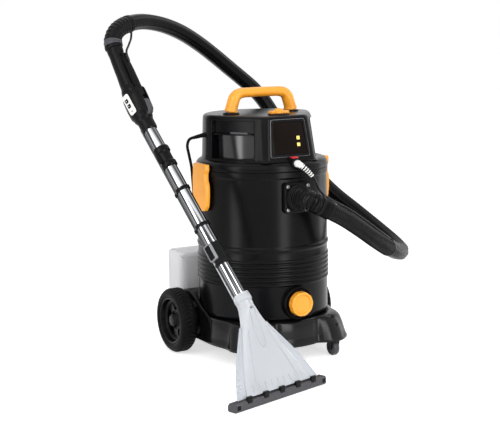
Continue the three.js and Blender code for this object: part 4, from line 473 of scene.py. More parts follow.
def make_dust():
    """A mask of settled dust: thick on what faces up, in soft blotches."""
    group, inside, outside = new_group(
        "settled_dust", [("Amount", 0.2), ("Blotch Size", 14.0)], [("Mask", "NodeSocketFloat")])
    nodes, links = group.nodes, group.links
    place = nodes.new("ShaderNodeTexCoord")
    blotch = nodes.new("ShaderNodeTexNoise")
    fill(blotch, {"Detail": 8, "Roughness": 0.7})
    links.new(place.outputs["Object"], blotch.inputs["Vector"])
    links.new(inside.outputs["Blotch Size"], blotch.inputs["Scale"])
    facing = nodes.new("ShaderNodeSeparateXYZ")
    shape = nodes.new("ShaderNodeNewGeometry")
    links.new(shape.outputs["Normal"], facing.inputs[0])
    upward = maths(nodes, links, "MULTIPLY", maths(nodes, links, "MAXIMUM", facing.outputs["Z"], 0.0), 0.8)
    lifted = maths(nodes, links, "ADD", upward, 0.2)
    blotches = maths(nodes, links, "SUBTRACT", blotch.outputs["Fac"], 0.35)
    shown = maths(nodes, links, "MULTIPLY", blotches, lifted)
    strong = maths(nodes, links, "MULTIPLY", shown, inside.outputs["Amount"])
    doubled = maths(nodes, links, "MULTIPLY", strong, 2.0)
    links.new(maths(nodes, links, "MAXIMUM", doubled, 0.0), outside.inputs["Mask"])
    return group


MOULDED = make_moulded()
DUST = make_dust()
print("shared effects:", MOULDED.name, DUST.name)

# %% [markdown]
# One recipe then makes each plastic, rubber or metal: a Principled shader whose colour
# is dusted, whose roughness wanders, and whose normal carries the grain.

# %% The common recipe
def linear(hex_colour):
    """A web colour as the linear values that Blender mixes."""
    values = [int(hex_colour[i:i + 2], 16) / 255 for i in (1, 3, 5)]
    return [v / 12.92 if v <= 0.04045 else ((v + 0.055) / 1.055) ** 2.4 for v in values] + [1.0]


def finish(name, colour, rough=0.4, spread=0.12, grain=0.4, grain_size=900.0, dust=0.1, metal=0.0,
           dust_colour="#8d8a84", patch=9.0, depth=0.00015, shine=0.5):
    """A material: a colour under dust, a roughness that wanders, and a moulded grain."""
    material = bpy.data.materials.new(name)
    material.use_nodes = True
    nodes, links = material.node_tree.nodes, material.node_tree.links
    shader = nodes["Principled BSDF"]
    fill(shader, {"Metallic": metal, "Specular IOR Level": shine})
    surface = nodes.new("ShaderNodeGroup")
    surface.node_tree = MOULDED
    fill(surface, {"Grain Size": grain_size, "Grain": grain, "Patch Size": patch, "Base": rough,
                   "Spread": spread})
    links.new(surface.outputs["Roughness"], shader.inputs["Roughness"])
    bump = nodes.new("ShaderNodeBump")
    fill(bump, {"Distance": depth, "Strength": 0.6})
    links.new(surface.outputs["Height"], bump.inputs["Height"])
    links.new(bump.outputs["Normal"], shader.inputs["Normal"])
    settled = nodes.new("ShaderNodeGroup")
    settled.node_tree = DUST
    fill(settled, {"Amount": dust})
    mix = nodes.new("ShaderNodeMix")
    mix.data_type = "RGBA"
    fill(mix, {"A": linear(colour), "B": linear(dust_colour)})
    links.new(settled.outputs["Mask"], mix.inputs["Factor"])
    links.new(mix.outputs["Result"], shader.inputs["Base Color"])
    return material


BLACK = finish("black_housing", "#09090b", rough=0.25, spread=0.12, grain=0.4, dust=0.02, shine=0.09)
SATIN_BLACK = finish("black_satin", "#0d0d0f", rough=0.32, spread=0.14, grain=0.8, grain_size=1400, dust=0.03,
                     shine=0.09)
YELLOW = finish("yellow_plastic", "#f8a52c", rough=0.36, spread=0.12, grain=0.4, dust=0.04,
                dust_colour="#d8b070")
RUBBER = finish("black_rubber", "#0a0a0b", rough=0.50, spread=0.15, grain=1.2, grain_size=1800, dust=0.03,
                shine=0.06)
GREY = finish("grey_plastic", "#3d3c41", rough=0.46, spread=0.12, grain=0.8, dust=0.06, shine=0.35)
PALE_GREY = finish("pale_grey_plastic", "#86868b", rough=0.42, spread=0.1, grain=0.7, dust=0.06)
WHITE = finish("white_plastic", "#ecebe7", rough=0.38, spread=0.1, grain=0.4, dust=0.05,
               dust_colour="#bdb9b0")
RED = finish("red_plastic", "#c8202e", rough=0.34, spread=0.1, grain=0.4, dust=0.03)
CHROME = finish("chrome_tube", "#e6e8ec", rough=0.10, spread=0.10, grain=0.12, grain_size=300, dust=0.02,
                metal=1.0, patch=24.0)
SCREW_STEEL = finish("screw_steel", "#77787c", rough=0.30, spread=0.1, grain=0.4, dust=0.05, metal=1.0)


def paint_chrome_reflection(material, stops):
    """Painted reflection: the bright middle and dark side bands that a polished tube shows in a white room,
    multiplied into its colour by how squarely it faces the camera.
    """
    nodes, links = material.node_tree.nodes, material.node_tree.links
    shader = nodes["Principled BSDF"]
    colour = shader.inputs["Base Color"].links[0].from_socket
    edge = nodes.new("ShaderNodeLayerWeight")
    fill(edge, {"Blend": 0.5})
    ramp = nodes.new("ShaderNodeValToRGB")
    ramp.color_ramp.elements[0].position = stops[0][0]
    ramp.color_ramp.elements[1].position = stops[-1][0]
    for place, _ in stops[1:-1]:
        ramp.color_ramp.elements.new(place)
    for element, (_, value) in zip(ramp.color_ramp.elements, stops):
        element.color = (value, value, value * 1.01, 1)
    links.new(edge.outputs["Facing"], ramp.inputs["Fac"])
    painted_reflection = nodes.new("ShaderNodeMix")
    painted_reflection.data_type, painted_reflection.blend_type = "RGBA", "MULTIPLY"
    fill(painted_reflection, {"Factor": 1.0})
    links.new(colour, painted_reflection.inputs["A"])
    links.new(ramp.outputs["Color"], painted_reflection.inputs["B"])
    links.new(painted_reflection.outputs["Result"], shader.inputs["Base Color"])


# Painted reflection on the chrome: a bright middle line and dark bands at its sides, painted into its colour.
paint_chrome_reflection(CHROME, [(0.0, 0.32), (0.018, 0.28), (0.03, 0.04), (0.045, 0.06), (0.075, 0.75), (0.12, 0.8),
                      (0.18, 0.10), (0.3, 0.08), (0.38, 0.5), (0.48, 0.07), (0.85, 0.03), (1.0, 0.3)])
STEEL = finish("brushed_steel", "#9a9ca0", rough=0.34, spread=0.15, grain=0.5, dust=0.05, metal=1.0)
FOAM = finish("filter_foam", "#84868c", rough=0.9, spread=0.1, grain=4.0, grain_size=420, dust=0.2,
              depth=0.0008)
print(len(bpy.data.materials), "finishes")

# %% [markdown]
# ## The hose
# A vacuum hose is a thin corrugated tube: it bends because each rib opens on the
# outside of the curve and closes on the inside. Past the ribbed stretch this one wears
# a fabric sleeve that also holds the water tube. Both are swept along one route, out
# of the inlet, round to the right, and over to the grip.

# %% Route of the hose
INLET_Z = 453
DIP = math.radians(28)
HOSE_AHEAD = Vector((math.cos(DIP), 0, -math.sin(DIP)))
ELBOW_CORNER = Vector((0, -250, INLET_Z))
HOSE_START = ELBOW_CORNER + HOSE_AHEAD * 70.3
HOSE_POINTS = [
    (107, -250, 396), (160, -249.5, 362), (215, -245, 325), (272, -228, 293), (330, -190, 272),
    (379, -132, 265), (406, -60, 273), (406, 20, 302), (382, 95, 346), (340, 160, 400), (292, 208, 468),
    (243, 240, 545), (200, 258, 622), (163, 267, 680), (128, 272, 719), (92, 272, 748), (48, 267, 780),
    (0, 258, 814), (-60, 245, 853), (-125, 228, 887), (-190, 208, 909), (-250, 186, 919),
    (-290, 169, 919), (-318, 157, 915),
]
HOSE_PATH = spaced(curve_through([HOSE_START] + HOSE_POINTS, 24), 1.0)
RIBBED, SLEEVE_START = 300, 240
ribbed_path = HOSE_PATH[:RIBBED + 1]
sleeve_path = HOSE_PATH[SLEEVE_START:]


def tightest(path, step=15):
    """The smallest bend radius along a path of points 1 mm apart."""
    least = math.inf
    for k in range(step, len(path) - step, 5):
        a, b, c = path[k - step], path[k], path[k + step]
        area = (b - a).cross(c - a).length / 2
        least = min(least, (b - a).length * (c - b).length * (c - a).length / max(4 * area, 1e-9))
    return least


print("hose %.0f mm long, tightest bend %.0f mm" % (length_of(HOSE_PATH), tightest(HOSE_PATH)))

# %% [markdown]
# The radius of the ribbed part is a wave of the distance walked: rounded crests, narrow
# valleys. The last 60 mm are a plain tube, because the sleeve is pulled over them.

# %% Ribbed hose
RIB_PITCH = 6.4
MOUTH_RADIUS, PLAIN_RADIUS, VALLEY_RADIUS, RIB_HEIGHT = 21.4, 19.6, 19.4, 3.8


def rib(walked, turn):
    """Radius of the bare hose: a plain mouth, ribs, and a plain end under the sleeve."""
    if walked < 4:
        return MOUTH_RADIUS
    if walked > SLEEVE_START - 1:
        return PLAIN_RADIUS
    wave = 0.5 + 0.5 * math.cos(2 * math.pi * walked / RIB_PITCH)
    return VALLEY_RADIUS + RIB_HEIGHT * wave ** 0.7


def in_metres(path, step=20.0, place=MACHINE):
    """Route points for a cord, in the frame's metres."""
    return [tuple(place @ p) for p in spaced(path, step)]


HOSE_BLACK = finish("hose_plastic", "#101012", rough=0.24, spread=0.12, grain=0.4, dust=0.03, shine=0.22)
ribbed = part("ribbed_hose", swept(spaced(ribbed_path, 0.8), rib, 40, bore=18.2), "chassis", HOSE_BLACK,
              crease=80)
in_metres(ribbed_path, 10)
print("ribs:", round(SLEEVE_START / RIB_PITCH))

# %% [markdown]
# The sleeve is a soft skin: long folds run along it, short wrinkles go round it where
# the hose bends most, and near its mouth it bulges over the water tube that goes in.

# %% Sleeve
SLEEVE_RADIUS = 21.5


def sleeve_fold(walked, turn):
    """Radius of the sleeve with its folds, its wrinkles, its bulging mouth and its hem."""
    fold = 0.6 * math.sin(3 * turn + walked * 0.002) + 0.7 * math.sin(8 * turn - walked * 0.003)
    bent = math.exp(-((walked - 300) / 240) ** 2)
    wrinkle = (0.12 + 0.42 * bent) * math.sin(walked * 0.83 + 1.6 * math.sin(turn)
                                              + 0.9 * math.sin(2 * turn + 1))
    mouth = max(0.0, 1 - walked / 55)
    bulge = 6.2 * mouth * math.exp(-(min(turn, 2 * math.pi - turn) / 0.42) ** 2)
    hem = 0.7 if walked < 5 else 0.0
    return SLEEVE_RADIUS + fold * min(1.0, walked / 30) + wrinkle * min(1.0, walked / 40) + bulge + hem


SLEEVE = finish("sleeve_fabric", "#060607", rough=0.24, spread=0.10, grain=1.2, grain_size=1500, dust=0.01,
                depth=0.0003, shine=0.10)
sleeve_skin = swept(spaced(sleeve_path, 1.9), sleeve_fold, 44, bore=20.2, hint=Vector((0, 0, 1)))
sleeved = part("sleeved_hose", sleeve_skin, "chassis", SLEEVE, crease=80)
in_metres(sleeve_path, 15)
print("sleeve %.0f mm long" % length_of(sleeve_path))

# %% [markdown]
# ## The drum
# The drum is one deep moulding that the motor head closes. Turning its profile round
# the axis makes it in one go: a narrow foot that sits in the base, six grip ribs, a
# single bead above them and a thicker rim. The holes for the inlet and the drain are
# then cut with plain rods.

# %% The drum's profile
RIM_Z = 521
FRONTWARD = spin(90, "X")


def drum_profile():
    """(radius, height) up the outside with its ribs, and down the inside."""
    outside = [(0, 101.3), (165, 101.3), (171, 107.3), (171, 119), (178, 123), (180, 130)]
    for k in range(6):
        z = 217.5 + 12.5 * k
        outside += [(180, z - 4.6), (183, z - 2.8), (183, z + 2.8), (180, z + 4.6)]
    outside += [(180, 305), (183, 310), (183, 316), (180, 321), (180, 502), (182, 506), (182, RIM_Z)]
    inside = [(177, RIM_Z), (177, 123.3), (165, 110.3), (159, 104.3), (0, 104.3)]
    return rounded(outside + inside, 1.6, steps=3)


def facing_front(shape, x, y, z):
    """A shape drawn round Z, laid down so that its +Z looks forward."""
    return moved(shape, shift(x, y, z) @ FRONTWARD)


DRAIN_Z = 167
drum = part("drum", turned(drum_profile(), 168), "chassis", BLACK)
cut_by(drum, tool(facing_front(rod(22, 0, 60, 48), 0, -150, DRAIN_Z)),
       tool(facing_front(rod(24, 0, 60, 48), 0, -150, INLET_Z)))
print("drum mesh:", len(drum.data.vertices), "points")

# %% [markdown]
# The drain sits in a round boss low on the front. Its lip stands a little proud, so
# there is a dark ring between the lip and the yellow cap. The cap is a shallow cup with
# ten finger flutes: the radius dips where a finger goes, and nothing has to be cut.

# %% Drain boss and cap
boss_profile = rounded([(22, 0), (49, 0), (45, 22), (44, 33), (42.5, 35.5), (40.5, 35), (38.5, 31.5),
                        (36, 31), (22, 31)], 1.2)
boss = piece("drain_boss_look", facing_front(turned(boss_profile, 96, closed=True), 0, -158, DRAIN_Z),
             "chassis", BLACK)
cut_by(boss, tool(rod(178.6, 60, 300, 168)))
CAP_PROFILE = rounded([(0, 15.5), (24, 15.5), (26.5, 19), (28, 20), (32, 20), (34.6, 18.6), (35, 16), (35, 2),
                       (34, 0.4), (21.5, 0.4), (21.5, -17), (16, -17), (16, 10), (0, 10)], 1.0, steps=3)


def fluted(profile, flutes, depth, count=120, from_radius=29):
    """A turned shape whose outer wall dips in a number of places round it."""
    points, faces = turned(profile, count)
    result = []
    for p in points:
        r = math.hypot(p.x, p.y)
        if r > from_radius:
            turn = math.atan2(p.y, p.x)
            near = (turn * flutes / (2 * math.pi)) % 1.0
            dip = max(0.0, 1 - (abs(near - 0.5) / 0.13) ** 2)
            shrink = 1 - depth * dip * min(1.0, (r - from_radius) / 4) / r
            p = Vector((p.x * shrink, p.y * shrink, p.z))
        result.append(p)
    return result, faces


THREAD_RADIUS, BRIM_SHARE = 22, 0.84
small_cap = [Vector((min(p[0], THREAD_RADIUS) + max(0.0, p[0] - THREAD_RADIUS) * BRIM_SHARE, p[1]))
             for p in CAP_PROFILE]
part("drain_cap", facing_front(fluted(small_cap, flutes=10, depth=1.1), 0, -192, DRAIN_Z), "drain_cap_body",
     YELLOW, crease=50)
print("cap points:", len(CAP_PROFILE))

# %% [markdown]
# Two short ledges under the latches are what their hooks pull on.

# %% Catches
for label, sign in SIDES:
    ledge = block((sign * 176, sign * 183), (-20, 20), (430.5, 441.5), 1.5)
    piece("catch_" + label + "_look", ledge, "chassis", BLACK, bevel=0.8)
print("catches at z = 436 mm")

# %% [markdown]
# ## The wheeled base
# Seen from above the base is round in front with a lobe over each caster, and straight
# behind. Its wall is a skin over rings of that plan: each ring is a little smaller than
# the one below, and the last ones curl over to the deck and down into the well that
# takes the drum. A second, smaller run of rings inside makes it a real thin moulding.

# %% Plan of the base
BASE_LOBE = [(-70, 0), (-66, 14), (-61, 32), (-55, 42), (-48, 45), (-42, 44), (-37, 36), (-32, 20)]
LOBE_SLOPE = [(53, 1.0), (72, 0.88), (88, 0.79), (104, 0.66), (109, 0.60), (113, 0.54), (116, 0.48),
              (118, 0.40)]


def polar(degrees, radius):
    """A point on the floor plan at an angle from +X."""
    return Vector((radius * math.cos(math.radians(degrees)), radius * math.sin(math.radians(degrees)), 0))


def lobe_share(z):
    """How far the lobes still reach out at a height: their tops slope down outwards."""
    for (z0, low), (z1, high) in zip(LOBE_SLOPE, LOBE_SLOPE[1:]):
        if z <= z1:
            return low + (high - low) * max(0.0, (z - z0) / (z1 - z0))
    return LOBE_SLOPE[-1][1]


def base_plan(grow, lobe=1.0):
    """The base seen from above, grown or drawn in, its lobes at a share of their reach."""
    half, front, rear, corner = 188 + grow, 190 + grow, 296 + grow, 28
    right = [polar(turn, corner) + Vector((half - corner, rear - corner, 0)) for turn in range(90, -1, -10)]
    right += [Vector((half, y, 0)) for y in (220, 170, 120, 70, 20)]
    bend = [Vector((half, 20, 0)), Vector((half, -50, 0))]
    bend += [polar(turn, front + out * lobe) for turn, out in reversed(BASE_LOBE)]
    bend += [polar(-75, front), polar(-84, front), polar(-90, front)]
    bend += [Vector((-p.x, p.y, 0)) for p in reversed(bend[:-1])]
    front_curve = curve_through(bend, 6)
    left = [Vector((-p.x, p.y, 0)) for p in reversed(right[:-1])]
    return right[:-1] + front_curve + left


def plan_ring(grow, z):
    return [Vector((p.x, p.y, z)) for p in base_plan(grow, lobe_share(z))]


def well_ring(radius, z):
    return [Vector((p.x, p.y, 0)).normalized() * radius + Vector((0, 0, z)) for p in base_plan(0)]


base_rings = [well_ring(150, 97.6), well_ring(175.5, 97.6), well_ring(175.5, 114.4), plan_ring(-13.6, 114.4),
              plan_ring(-8, 102), plan_ring(-3.4, 80), plan_ring(-0.6, 53), plan_ring(-0.6, 46)]
base_rings += [plan_ring(grow, z) for z, grow in (
    (45, 0.8), (45.2, 2.2), (46, 3), (51.6, 3.1), (53.2, 2.4), (54.4, 1.2), (70, 0.2), (88, -0.7),
    (104, -1.9), (109, -3), (113, -5.2), (116, -8.6), (117.6, -12.6), (118, -16))]
base_rings += [well_ring(173.6, 118), well_ring(172.2, 116.6), well_ring(172, 101.2), well_ring(150, 101.2)]
BASE_BLACK = finish("black_base", "#09090b", rough=0.20, spread=0.12, grain=0.4, dust=0.02, shine=0.20)
part("base_platform", skinned(base_rings), "chassis", BASE_BLACK, crease=50)
print("base plan of %d points" % len(base_rings[0]))

# %% [markdown]
# A hump beside each rear wheel carries the axle. It is a smooth outline pushed sideways,
# with its outer edge drawn in twice so that it rolls over, and the drum's round room
# is taken out of its inner side.

# %% Humps
HUMP = [(-52, 74), (-38, 108), (-14, 124), (22, 139), (62, 160), (107, 174), (151, 161), (178, 136),
        (189, 108), (191, 74)]
hump_line = curve_through([(0, y, z) for y, z in HUMP], 6)
CASTER_X, CASTER_Y = 125, -171


def hump_ring(x, inset):
    middle = Vector((0, 80, 90))
    return [Vector((x, 0, 0)) + middle + (p - middle) * (1 - inset / 90) for p in hump_line]


for label, sign in SIDES:
    rings = [hump_ring(x * sign, inset) for x, inset in (
        (146, 0), (180, 0), (184, 0.7), (186.6, 2.2), (187.9, 4.6), (188.2, 8))]
    hump = piece("hump_" + label + "_look", skinned(rings), "chassis", BLACK, crease=60)
    cut_by(hump, tool(rod(184.5, 60, 300, 168)))
    boss_shape = turned(rounded([(0, 113.2), (4, 113.2), (4, 117), (7, 117), (8, 110), (0, 110)], 0.6), 32)
    piece("base_boss_" + label + "_look", moved(boss_shape, shift(sign * 121, -168, -2.5)),
          "chassis", SATIN_BLACK)
    post = turned([(0, 56.6), (5.9, 56.6), (13, 56.6), (13, 92), (0, 92)], 32)
    piece("caster_post_" + label + "_look", moved(post, shift(sign * CASTER_X, CASTER_Y, 0)), "chassis",
          BLACK, bevel=0.6)
print("hump outline of %d points" % len(hump_line))

# %% [markdown]
# ## Wheels
# The rear wheels are large and ribbed. A tyre is a turned ring, but its tread
# comes from moving points: wherever the angle falls in a groove, the radius drops. The
# rim is turned too, and its five windows are cut through, which leaves the spokes.

# %% Rear wheels
def treaded(profile, lugs, depth, count):
    """A turned tyre whose outer wall drops into slanted grooves."""
    points, faces = turned(profile, count, closed=True)
    result = []
    for p in points:
        r = math.hypot(p.x, p.y)
        if r > 86.5:
            turn = math.atan2(p.y, p.x) / (2 * math.pi) * lugs + abs(p.z) * 0.035
            if (turn % 1.0) > 0.62:
                p = Vector((p.x * (1 - depth / r), p.y * (1 - depth / r), p.z))
        result.append(p)
    return result, faces


TYRE = rounded([(66.3, -22), (74, -25), (82, -23.4), (88, -17), (90, -12)], 2.5)
TYRE += [Vector((90, z)) for z in (-8, -4, 0, 4, 8)] + [Vector((p[0], -p[1])) for p in reversed(TYRE)]
RIM = rounded([(6.5, -21), (20, -21), (20, -4), (59, -4), (59, -19), (66, -19), (66, 21), (63.5, 22.4),
               (60, 21), (57, 8), (52, 4), (26, 4), (21, 7), (18, 14), (14, 17), (0, 18.5), (0, 11),
               (6.5, 11)], 1.2, steps=3)


def spoke_window(k):
    outline = [polar(turn, 51) for turn in (-21, -14, -7, 0, 7, 14, 21)]
    outline += [polar(turn, 28) for turn in (12, 0, -12)]
    shape = pushed(rounded(outline, 4, closed=True), -20, 20)
    return moved(shape, spin(72 * k, "Z"))


WHEEL_X, AXLE_Y, AXLE_Z = 220, 107, 90
RIM_BLACK = finish("rim_plastic", "#08080a", rough=0.22, spread=0.1, grain=0.3, dust=0.02, shine=0.10)
for label, sign in SIDES:
    stand = shift(sign * WHEEL_X, AXLE_Y, AXLE_Z) @ spin(90 * sign, "Y")
    body = "wheel_" + label + "_body"
    part("tyre_" + label, moved(treaded(TYRE, 44, 1.8, 352), stand), body, RUBBER, crease=40)
    rim = part("wheel_" + label, moved(turned(RIM, 100, closed=True), stand), body, RIM_BLACK, crease=40)
    cut_by(rim, *[tool(moved(spoke_window(k), stand)) for k in range(5)])
axle = turned(rounded([(0, -230), (5.4, -230), (6, -229), (6, 229), (5.4, 230), (0, 230)], 0.4), 48)
part("rear_axle", moved(axle, shift(0, AXLE_Y, AXLE_Z) @ spin(90, "Y")), "chassis", STEEL)
print("tyre ring of %d points" % len(TYRE))

# %% [markdown]
# Each front caster is a hood that swivels on a stem, with a small wheel between its
# cheeks. The wheel sits a little behind the stem, which is what makes it follow.

# %% Casters
ROLLER_PIN = shift(0, 6, 22) @ spin(90, "Y")


def caster_cheek(x_low, x_high):
    outline = rounded([(0, -11, 53), (0, -4, 18), (0, 2, 14.2), (0, 10, 14.2), (0, 16, 20), (0, 12, 53)], 4,
                      closed=True)
    return skinned([[Vector((x, p.y, p.z)) for p in outline] for x in (x_low, x_high)])


CROWN_PROFILE = rounded([(0, 50.8), (15.6, 50.8), (16, 52), (15.4, 55), (13, 56), (5, 56), (5, 80), (0, 80)],
                        0.5)
CROWN = turned(CROWN_PROFILE, 48)
ROLLER = rounded([(3.5, -8), (9, -9), (12, -6.5), (17, -9), (20, -8.4), (22, -5), (22, 5), (20, 8.4), (17, 9),
                  (12, 6.5), (9, 9), (3.5, 8)], 0.9, steps=3)
for label, sign in SIDES:
    stand = shift(sign * CASTER_X, CASTER_Y, 0)
    pin = moved(turned([(0, -13), (3, -13), (4.6, -12.6), (4.6, 12.6), (3, 13), (0, 13)], 24), ROLLER_PIN)
    fork = joined(CROWN, caster_cheek(-13, -10.2), caster_cheek(10.2, 13), pin)
    part("caster_fork_" + label, moved(fork, stand), "caster_" + label, SATIN_BLACK, bevel=0.7)
    roller = moved(turned(ROLLER, 72, closed=True), stand @ ROLLER_PIN)
    part("caster_wheel_" + label, roller, "caster_roller_" + label, GREY)
print("caster wheel radius 22 mm")

# %% [markdown]
# ## The clean-water tank
# The tank behind the drum is blow-moulded in milky plastic: light goes in, scatters and
# comes out paler. A Principled shader with some transmission and a high roughness gives
# that.

# %% Milky plastic
def clear_finish(name, colour, rough, weight, ior=1.47, grain=0.6, depth=0.0002):
    """A plastic that lets a share of the light through."""
    material = finish(name, colour, rough=rough, spread=0.12, grain=grain, dust=0.03, depth=depth)
    fill(material.node_tree.nodes["Principled BSDF"], {"Transmission Weight": weight, "IOR": ior})
    return material


MILKY = clear_finish("milky_plastic", "#f9f9fb", 0.5, 0.30)
print("milky plastic lets 30 % of the light through")

# %% Tank
TANK_MIDDLE = Vector((0, 240, 0))


def tank_ring(z, inset, groove=0.0):
    """The tank's outline at a height, with three shallow grooves down its rear."""
    ring, dense = box_outline(320 - 2 * inset, 100 - 2 * inset, 18 - inset * 0.5, steps=6), []
    for a, b in zip(ring, ring[1:] + ring[:1]):
        steps = max(1, round((b - a).length / 4))
        dense += [a.lerp(b, k / steps) for k in range(steps)]
    result = []
    for p in dense:
        if p.y > 40 and groove:
            near = min(abs(p.x - x) for x in (-86, 0, 86))
            p = Vector((p.x, p.y - groove * max(0.0, 1 - (near / 7) ** 2), 0))
        result.append(p + TANK_MIDDLE + Vector((0, 0, z)))
    return result


def grooves_at(z):
    return 2.2 * min(1.0, max(0.0, (z - 132) / 6), max(0.0, (228 - z) / 6))


tank_levels = [(118.4, 5), (120, 2), (123.5, 0)] + [(z, 0) for z in range(128, 248, 6)]
tank_levels += [(251, 0.4), (255, 2), (258, 4.6), (259.6, 8), (260, 12)]
rings = [tank_ring(z, inset, grooves_at(z)) for z, inset in tank_levels]
tank = part("water_tank", skinned(rings), "chassis", MILKY, crease=50)
hollow = skinned([tank_ring(z, inset + 3.2) for z, inset in ((122, 4), (128, 0), (246, 0), (256.4, 9))])
filler = shift(100, 240, 0)
cut_by(tank, tool(hollow), tool(moved(rod(21, 240, 300, 64), filler)))
piece("tank_neck_look", moved(turned([(21, 257), (24, 257), (24, 271), (21, 271)], 64, closed=True), filler),
      "chassis", MILKY)
TANK_CAP = rounded([(0, 14), (24, 14), (27, 13.4), (29, 11), (29, 0), (24.6, 0), (24.6, 11), (0, 11)], 0.8)
cap_shape = fluted([(p[0], p[1] + 260.3) for p in TANK_CAP], flutes=12, depth=1.5, from_radius=26.5)
part("tank_cap", moved(cap_shape, filler), "tank_cap_body", SATIN_BLACK, crease=50)
print("tank ring of", len(rings[0]), "points")

# %% [markdown]
# ## The motor head
# The head is what the latches clamp to the drum. Its lower part is a turned ring: a
# thin rim, a shoulder that rolls inwards, and a skirt that goes down inside the drum.

# %% Head base
HEAD_RING = rounded([(72, 538), (150, 538), (166, 526), (166, 500), (172, 500), (172, 521.4), (182.5, 521.4),
                     (182.6, 531), (180.5, 538), (176, 543.4), (169, 546.8), (161, 548), (152, 548.2),
                     (149, 543), (72, 543)], 2.6, steps=5)
part("head_base", turned(HEAD_RING, 168, closed=True), "head", BLACK, crease=40)
COUPLING = rounded([(5, 0), (12, 0), (13, 2), (13, 24), (11.6, 26), (9, 26), (8.4, 24), (5, 24)], 0.8)
coupling = turned(COUPLING, 48, closed=True)
piece("coupling_boss_look", facing_front(coupling, 0, -160, 543.7), "head", SATIN_BLACK)
HINGE_X, HINGE_Z = 189.5, 534
for label, sign in SIDES:
    lug = turned(rounded([(0, -3), (3.2, -3), (3.6, -2.4), (3.6, 2.4), (3.2, 3), (0, 3)], 0.4), 32)
    hinge = [moved(lug, shift(sign * HINGE_X, y, HINGE_Z) @ FRONTWARD) for y in (-27, 27)]
    hinge += [block((sign * 174, sign * 190), (y - 3, y + 3), (530.6, 537.2), 1) for y in (-27, 27)]
    hinge.append(moved(rod(3, -30, 30, 24),
                       shift(sign * HINGE_X, 0, HINGE_Z) @ FRONTWARD))
    piece("latch_hinge_" + label + "_look", joined(*hinge), "head", BLACK, bevel=0.4)
print("head ring of %d points" % len(HEAD_RING))

# %% [markdown]
# The cover above it is round behind, runs in along slightly bulged flanks, and ends in
# front in a flat console that leans back. The plan is a function of height, so the whole
# form is one skin over a row of plans, with the last few drawn in to round the top.

# %% Plan of the cover
SHOULDER_Z, HEAD_TOP_Z = 551.7, 668
PANE_LOW, PANE_HIGH, PANE_HALF_LOW, PANE_HALF_HIGH = 567, 651, 53, 45


def console_y(z):
    """Where the sloped console stands at a height."""
    return -157 + (z - SHOULDER_Z) * 0.17


def head_plan(z, grow):
    """The cover seen from above at a height: a round rear, bulged flanks, a flat front."""
    rise = z - SHOULDER_Z
    rear = 165 - rise / (HEAD_TOP_Z - SHOULDER_Z) * 4 + grow
    front = console_y(z) - grow
    half = 80 - rise * 0.1 + grow * 0.7
    ring = [polar(5 + 170 * k / 48, rear) + Vector((0, 0, z)) for k in range(49)]
    start = Vector((-rear * math.cos(math.radians(5)), rear * math.sin(math.radians(5)), z))
    sharp = Vector((-half + 1.5, front, z))
    end = sharp.lerp(start, 22 / (start - sharp).length)
    out = Vector((-0.88, -0.474, 0))
    flank = [start.lerp(end, k / 16) + out * (7 * 4 * (k / 16) * (1 - k / 16)) for k in range(1, 17)]
    flat = sharp + Vector((15, 0, 0))
    corner = [end * (1 - t) ** 2 + sharp * 2 * t * (1 - t) + flat * t ** 2
              for t in (k / 8 for k in range(1, 9))]
    left = flank + corner
    return ring + left + [Vector((-p.x, p.y, z)) for p in reversed(left)]


COVER_LEVELS = [(546.2, 6), (547.4, 3.6), (549, 1.9), (551.4, 0.8), (555, 0.2)]
COVER_LEVELS += [(z, 0) for z in range(562, 656, 8)]
COVER_LEVELS += [(658.6, -0.2), (661.6, -0.8), (664, -2), (665.8, -3.8), (667.1, -6.2), (667.8, -9),
                 (668, -12.5)]
cover = part("head_cover", skinned([head_plan(z, grow) for z, grow in COVER_LEVELS]), "head", BLACK,
             crease=40)
print("cover of %d rings" % len(COVER_LEVELS))

# %% [markdown]
# In each flank is a pocket. Two rounded blocks are cut out of the cover, a deep one below
# and a shallow one above. What is inside gets its own shapes: a curved wall, which
# catches the light as one bright line, a rail with a grey tab, and a lip round them.

# %% Flank pockets
INWARD = Vector((0.88, 0.474, 0))


def flank_line(z, depth, low_share=0.0, high_share=1.0, steps=12):
    """Points along the left flank at a height, at a depth under its surface."""
    surface, line = head_plan(z, 0)[48:65], []
    for k in range(steps + 1):
        at = 16 * (low_share + (high_share - low_share) * k / steps)
        before = min(15, int(at))
        line.append(surface[before].lerp(surface[before + 1], at - before) + INWARD * depth)
    return line


def flank_block(depths, low, high, low_share, high_share, steps=12, radius=2.0):
    """A block along the flank, from one depth to another."""
    rings = []
    for z in (low, high):
        near = flank_line(z, depths[0], low_share, high_share, steps)
        far = flank_line(z, depths[1], low_share, high_share, steps)
        rings.append(rounded(near + far[::-1], radius, closed=True, steps=3))
    return skinned(rings)


def rounded_tool(shape, radius):
    made = tool(shape)
    for face in made.data.polygons:
        face.use_smooth = True
    rounding = made.modifiers.new("rounding", "BEVEL")
    rounding.width, rounding.segments = radius / 1000, 4
    rounding.angle_limit = math.radians(50)
    return made


tools = []
for sign in (-1, 1):
    for depth, low, high in ((23, 551, 622), (8, 614, 656)):
        shape = flank_block((-14, depth), low, high, 0.10, 0.94, steps=16, radius=8.0)
        tools.append(rounded_tool(shape if sign < 0 else mirrored(shape), 6))
inner_room = skinned([head_plan(z, -27) for z in (540, 660)])
socket_holes = [tool(moved(rod(10.4, 654, 690, 48), shift(x, 0, 0)))
                for x in (-93, 93)]
window_room = tool(skinned([[Vector((x, console_y(z) + dy, z)) for x, dy in (
    (-w, -20), (w, -20), (w, 6), (-w, 6))]
                            for z, w in ((PANE_LOW, PANE_HALF_LOW), (PANE_HIGH, PANE_HALF_HIGH))]))
cut_by(cover, *tools, tool(inner_room), *socket_holes, window_room)
print("cover after cutting:", len(cover.data.vertices), "points")

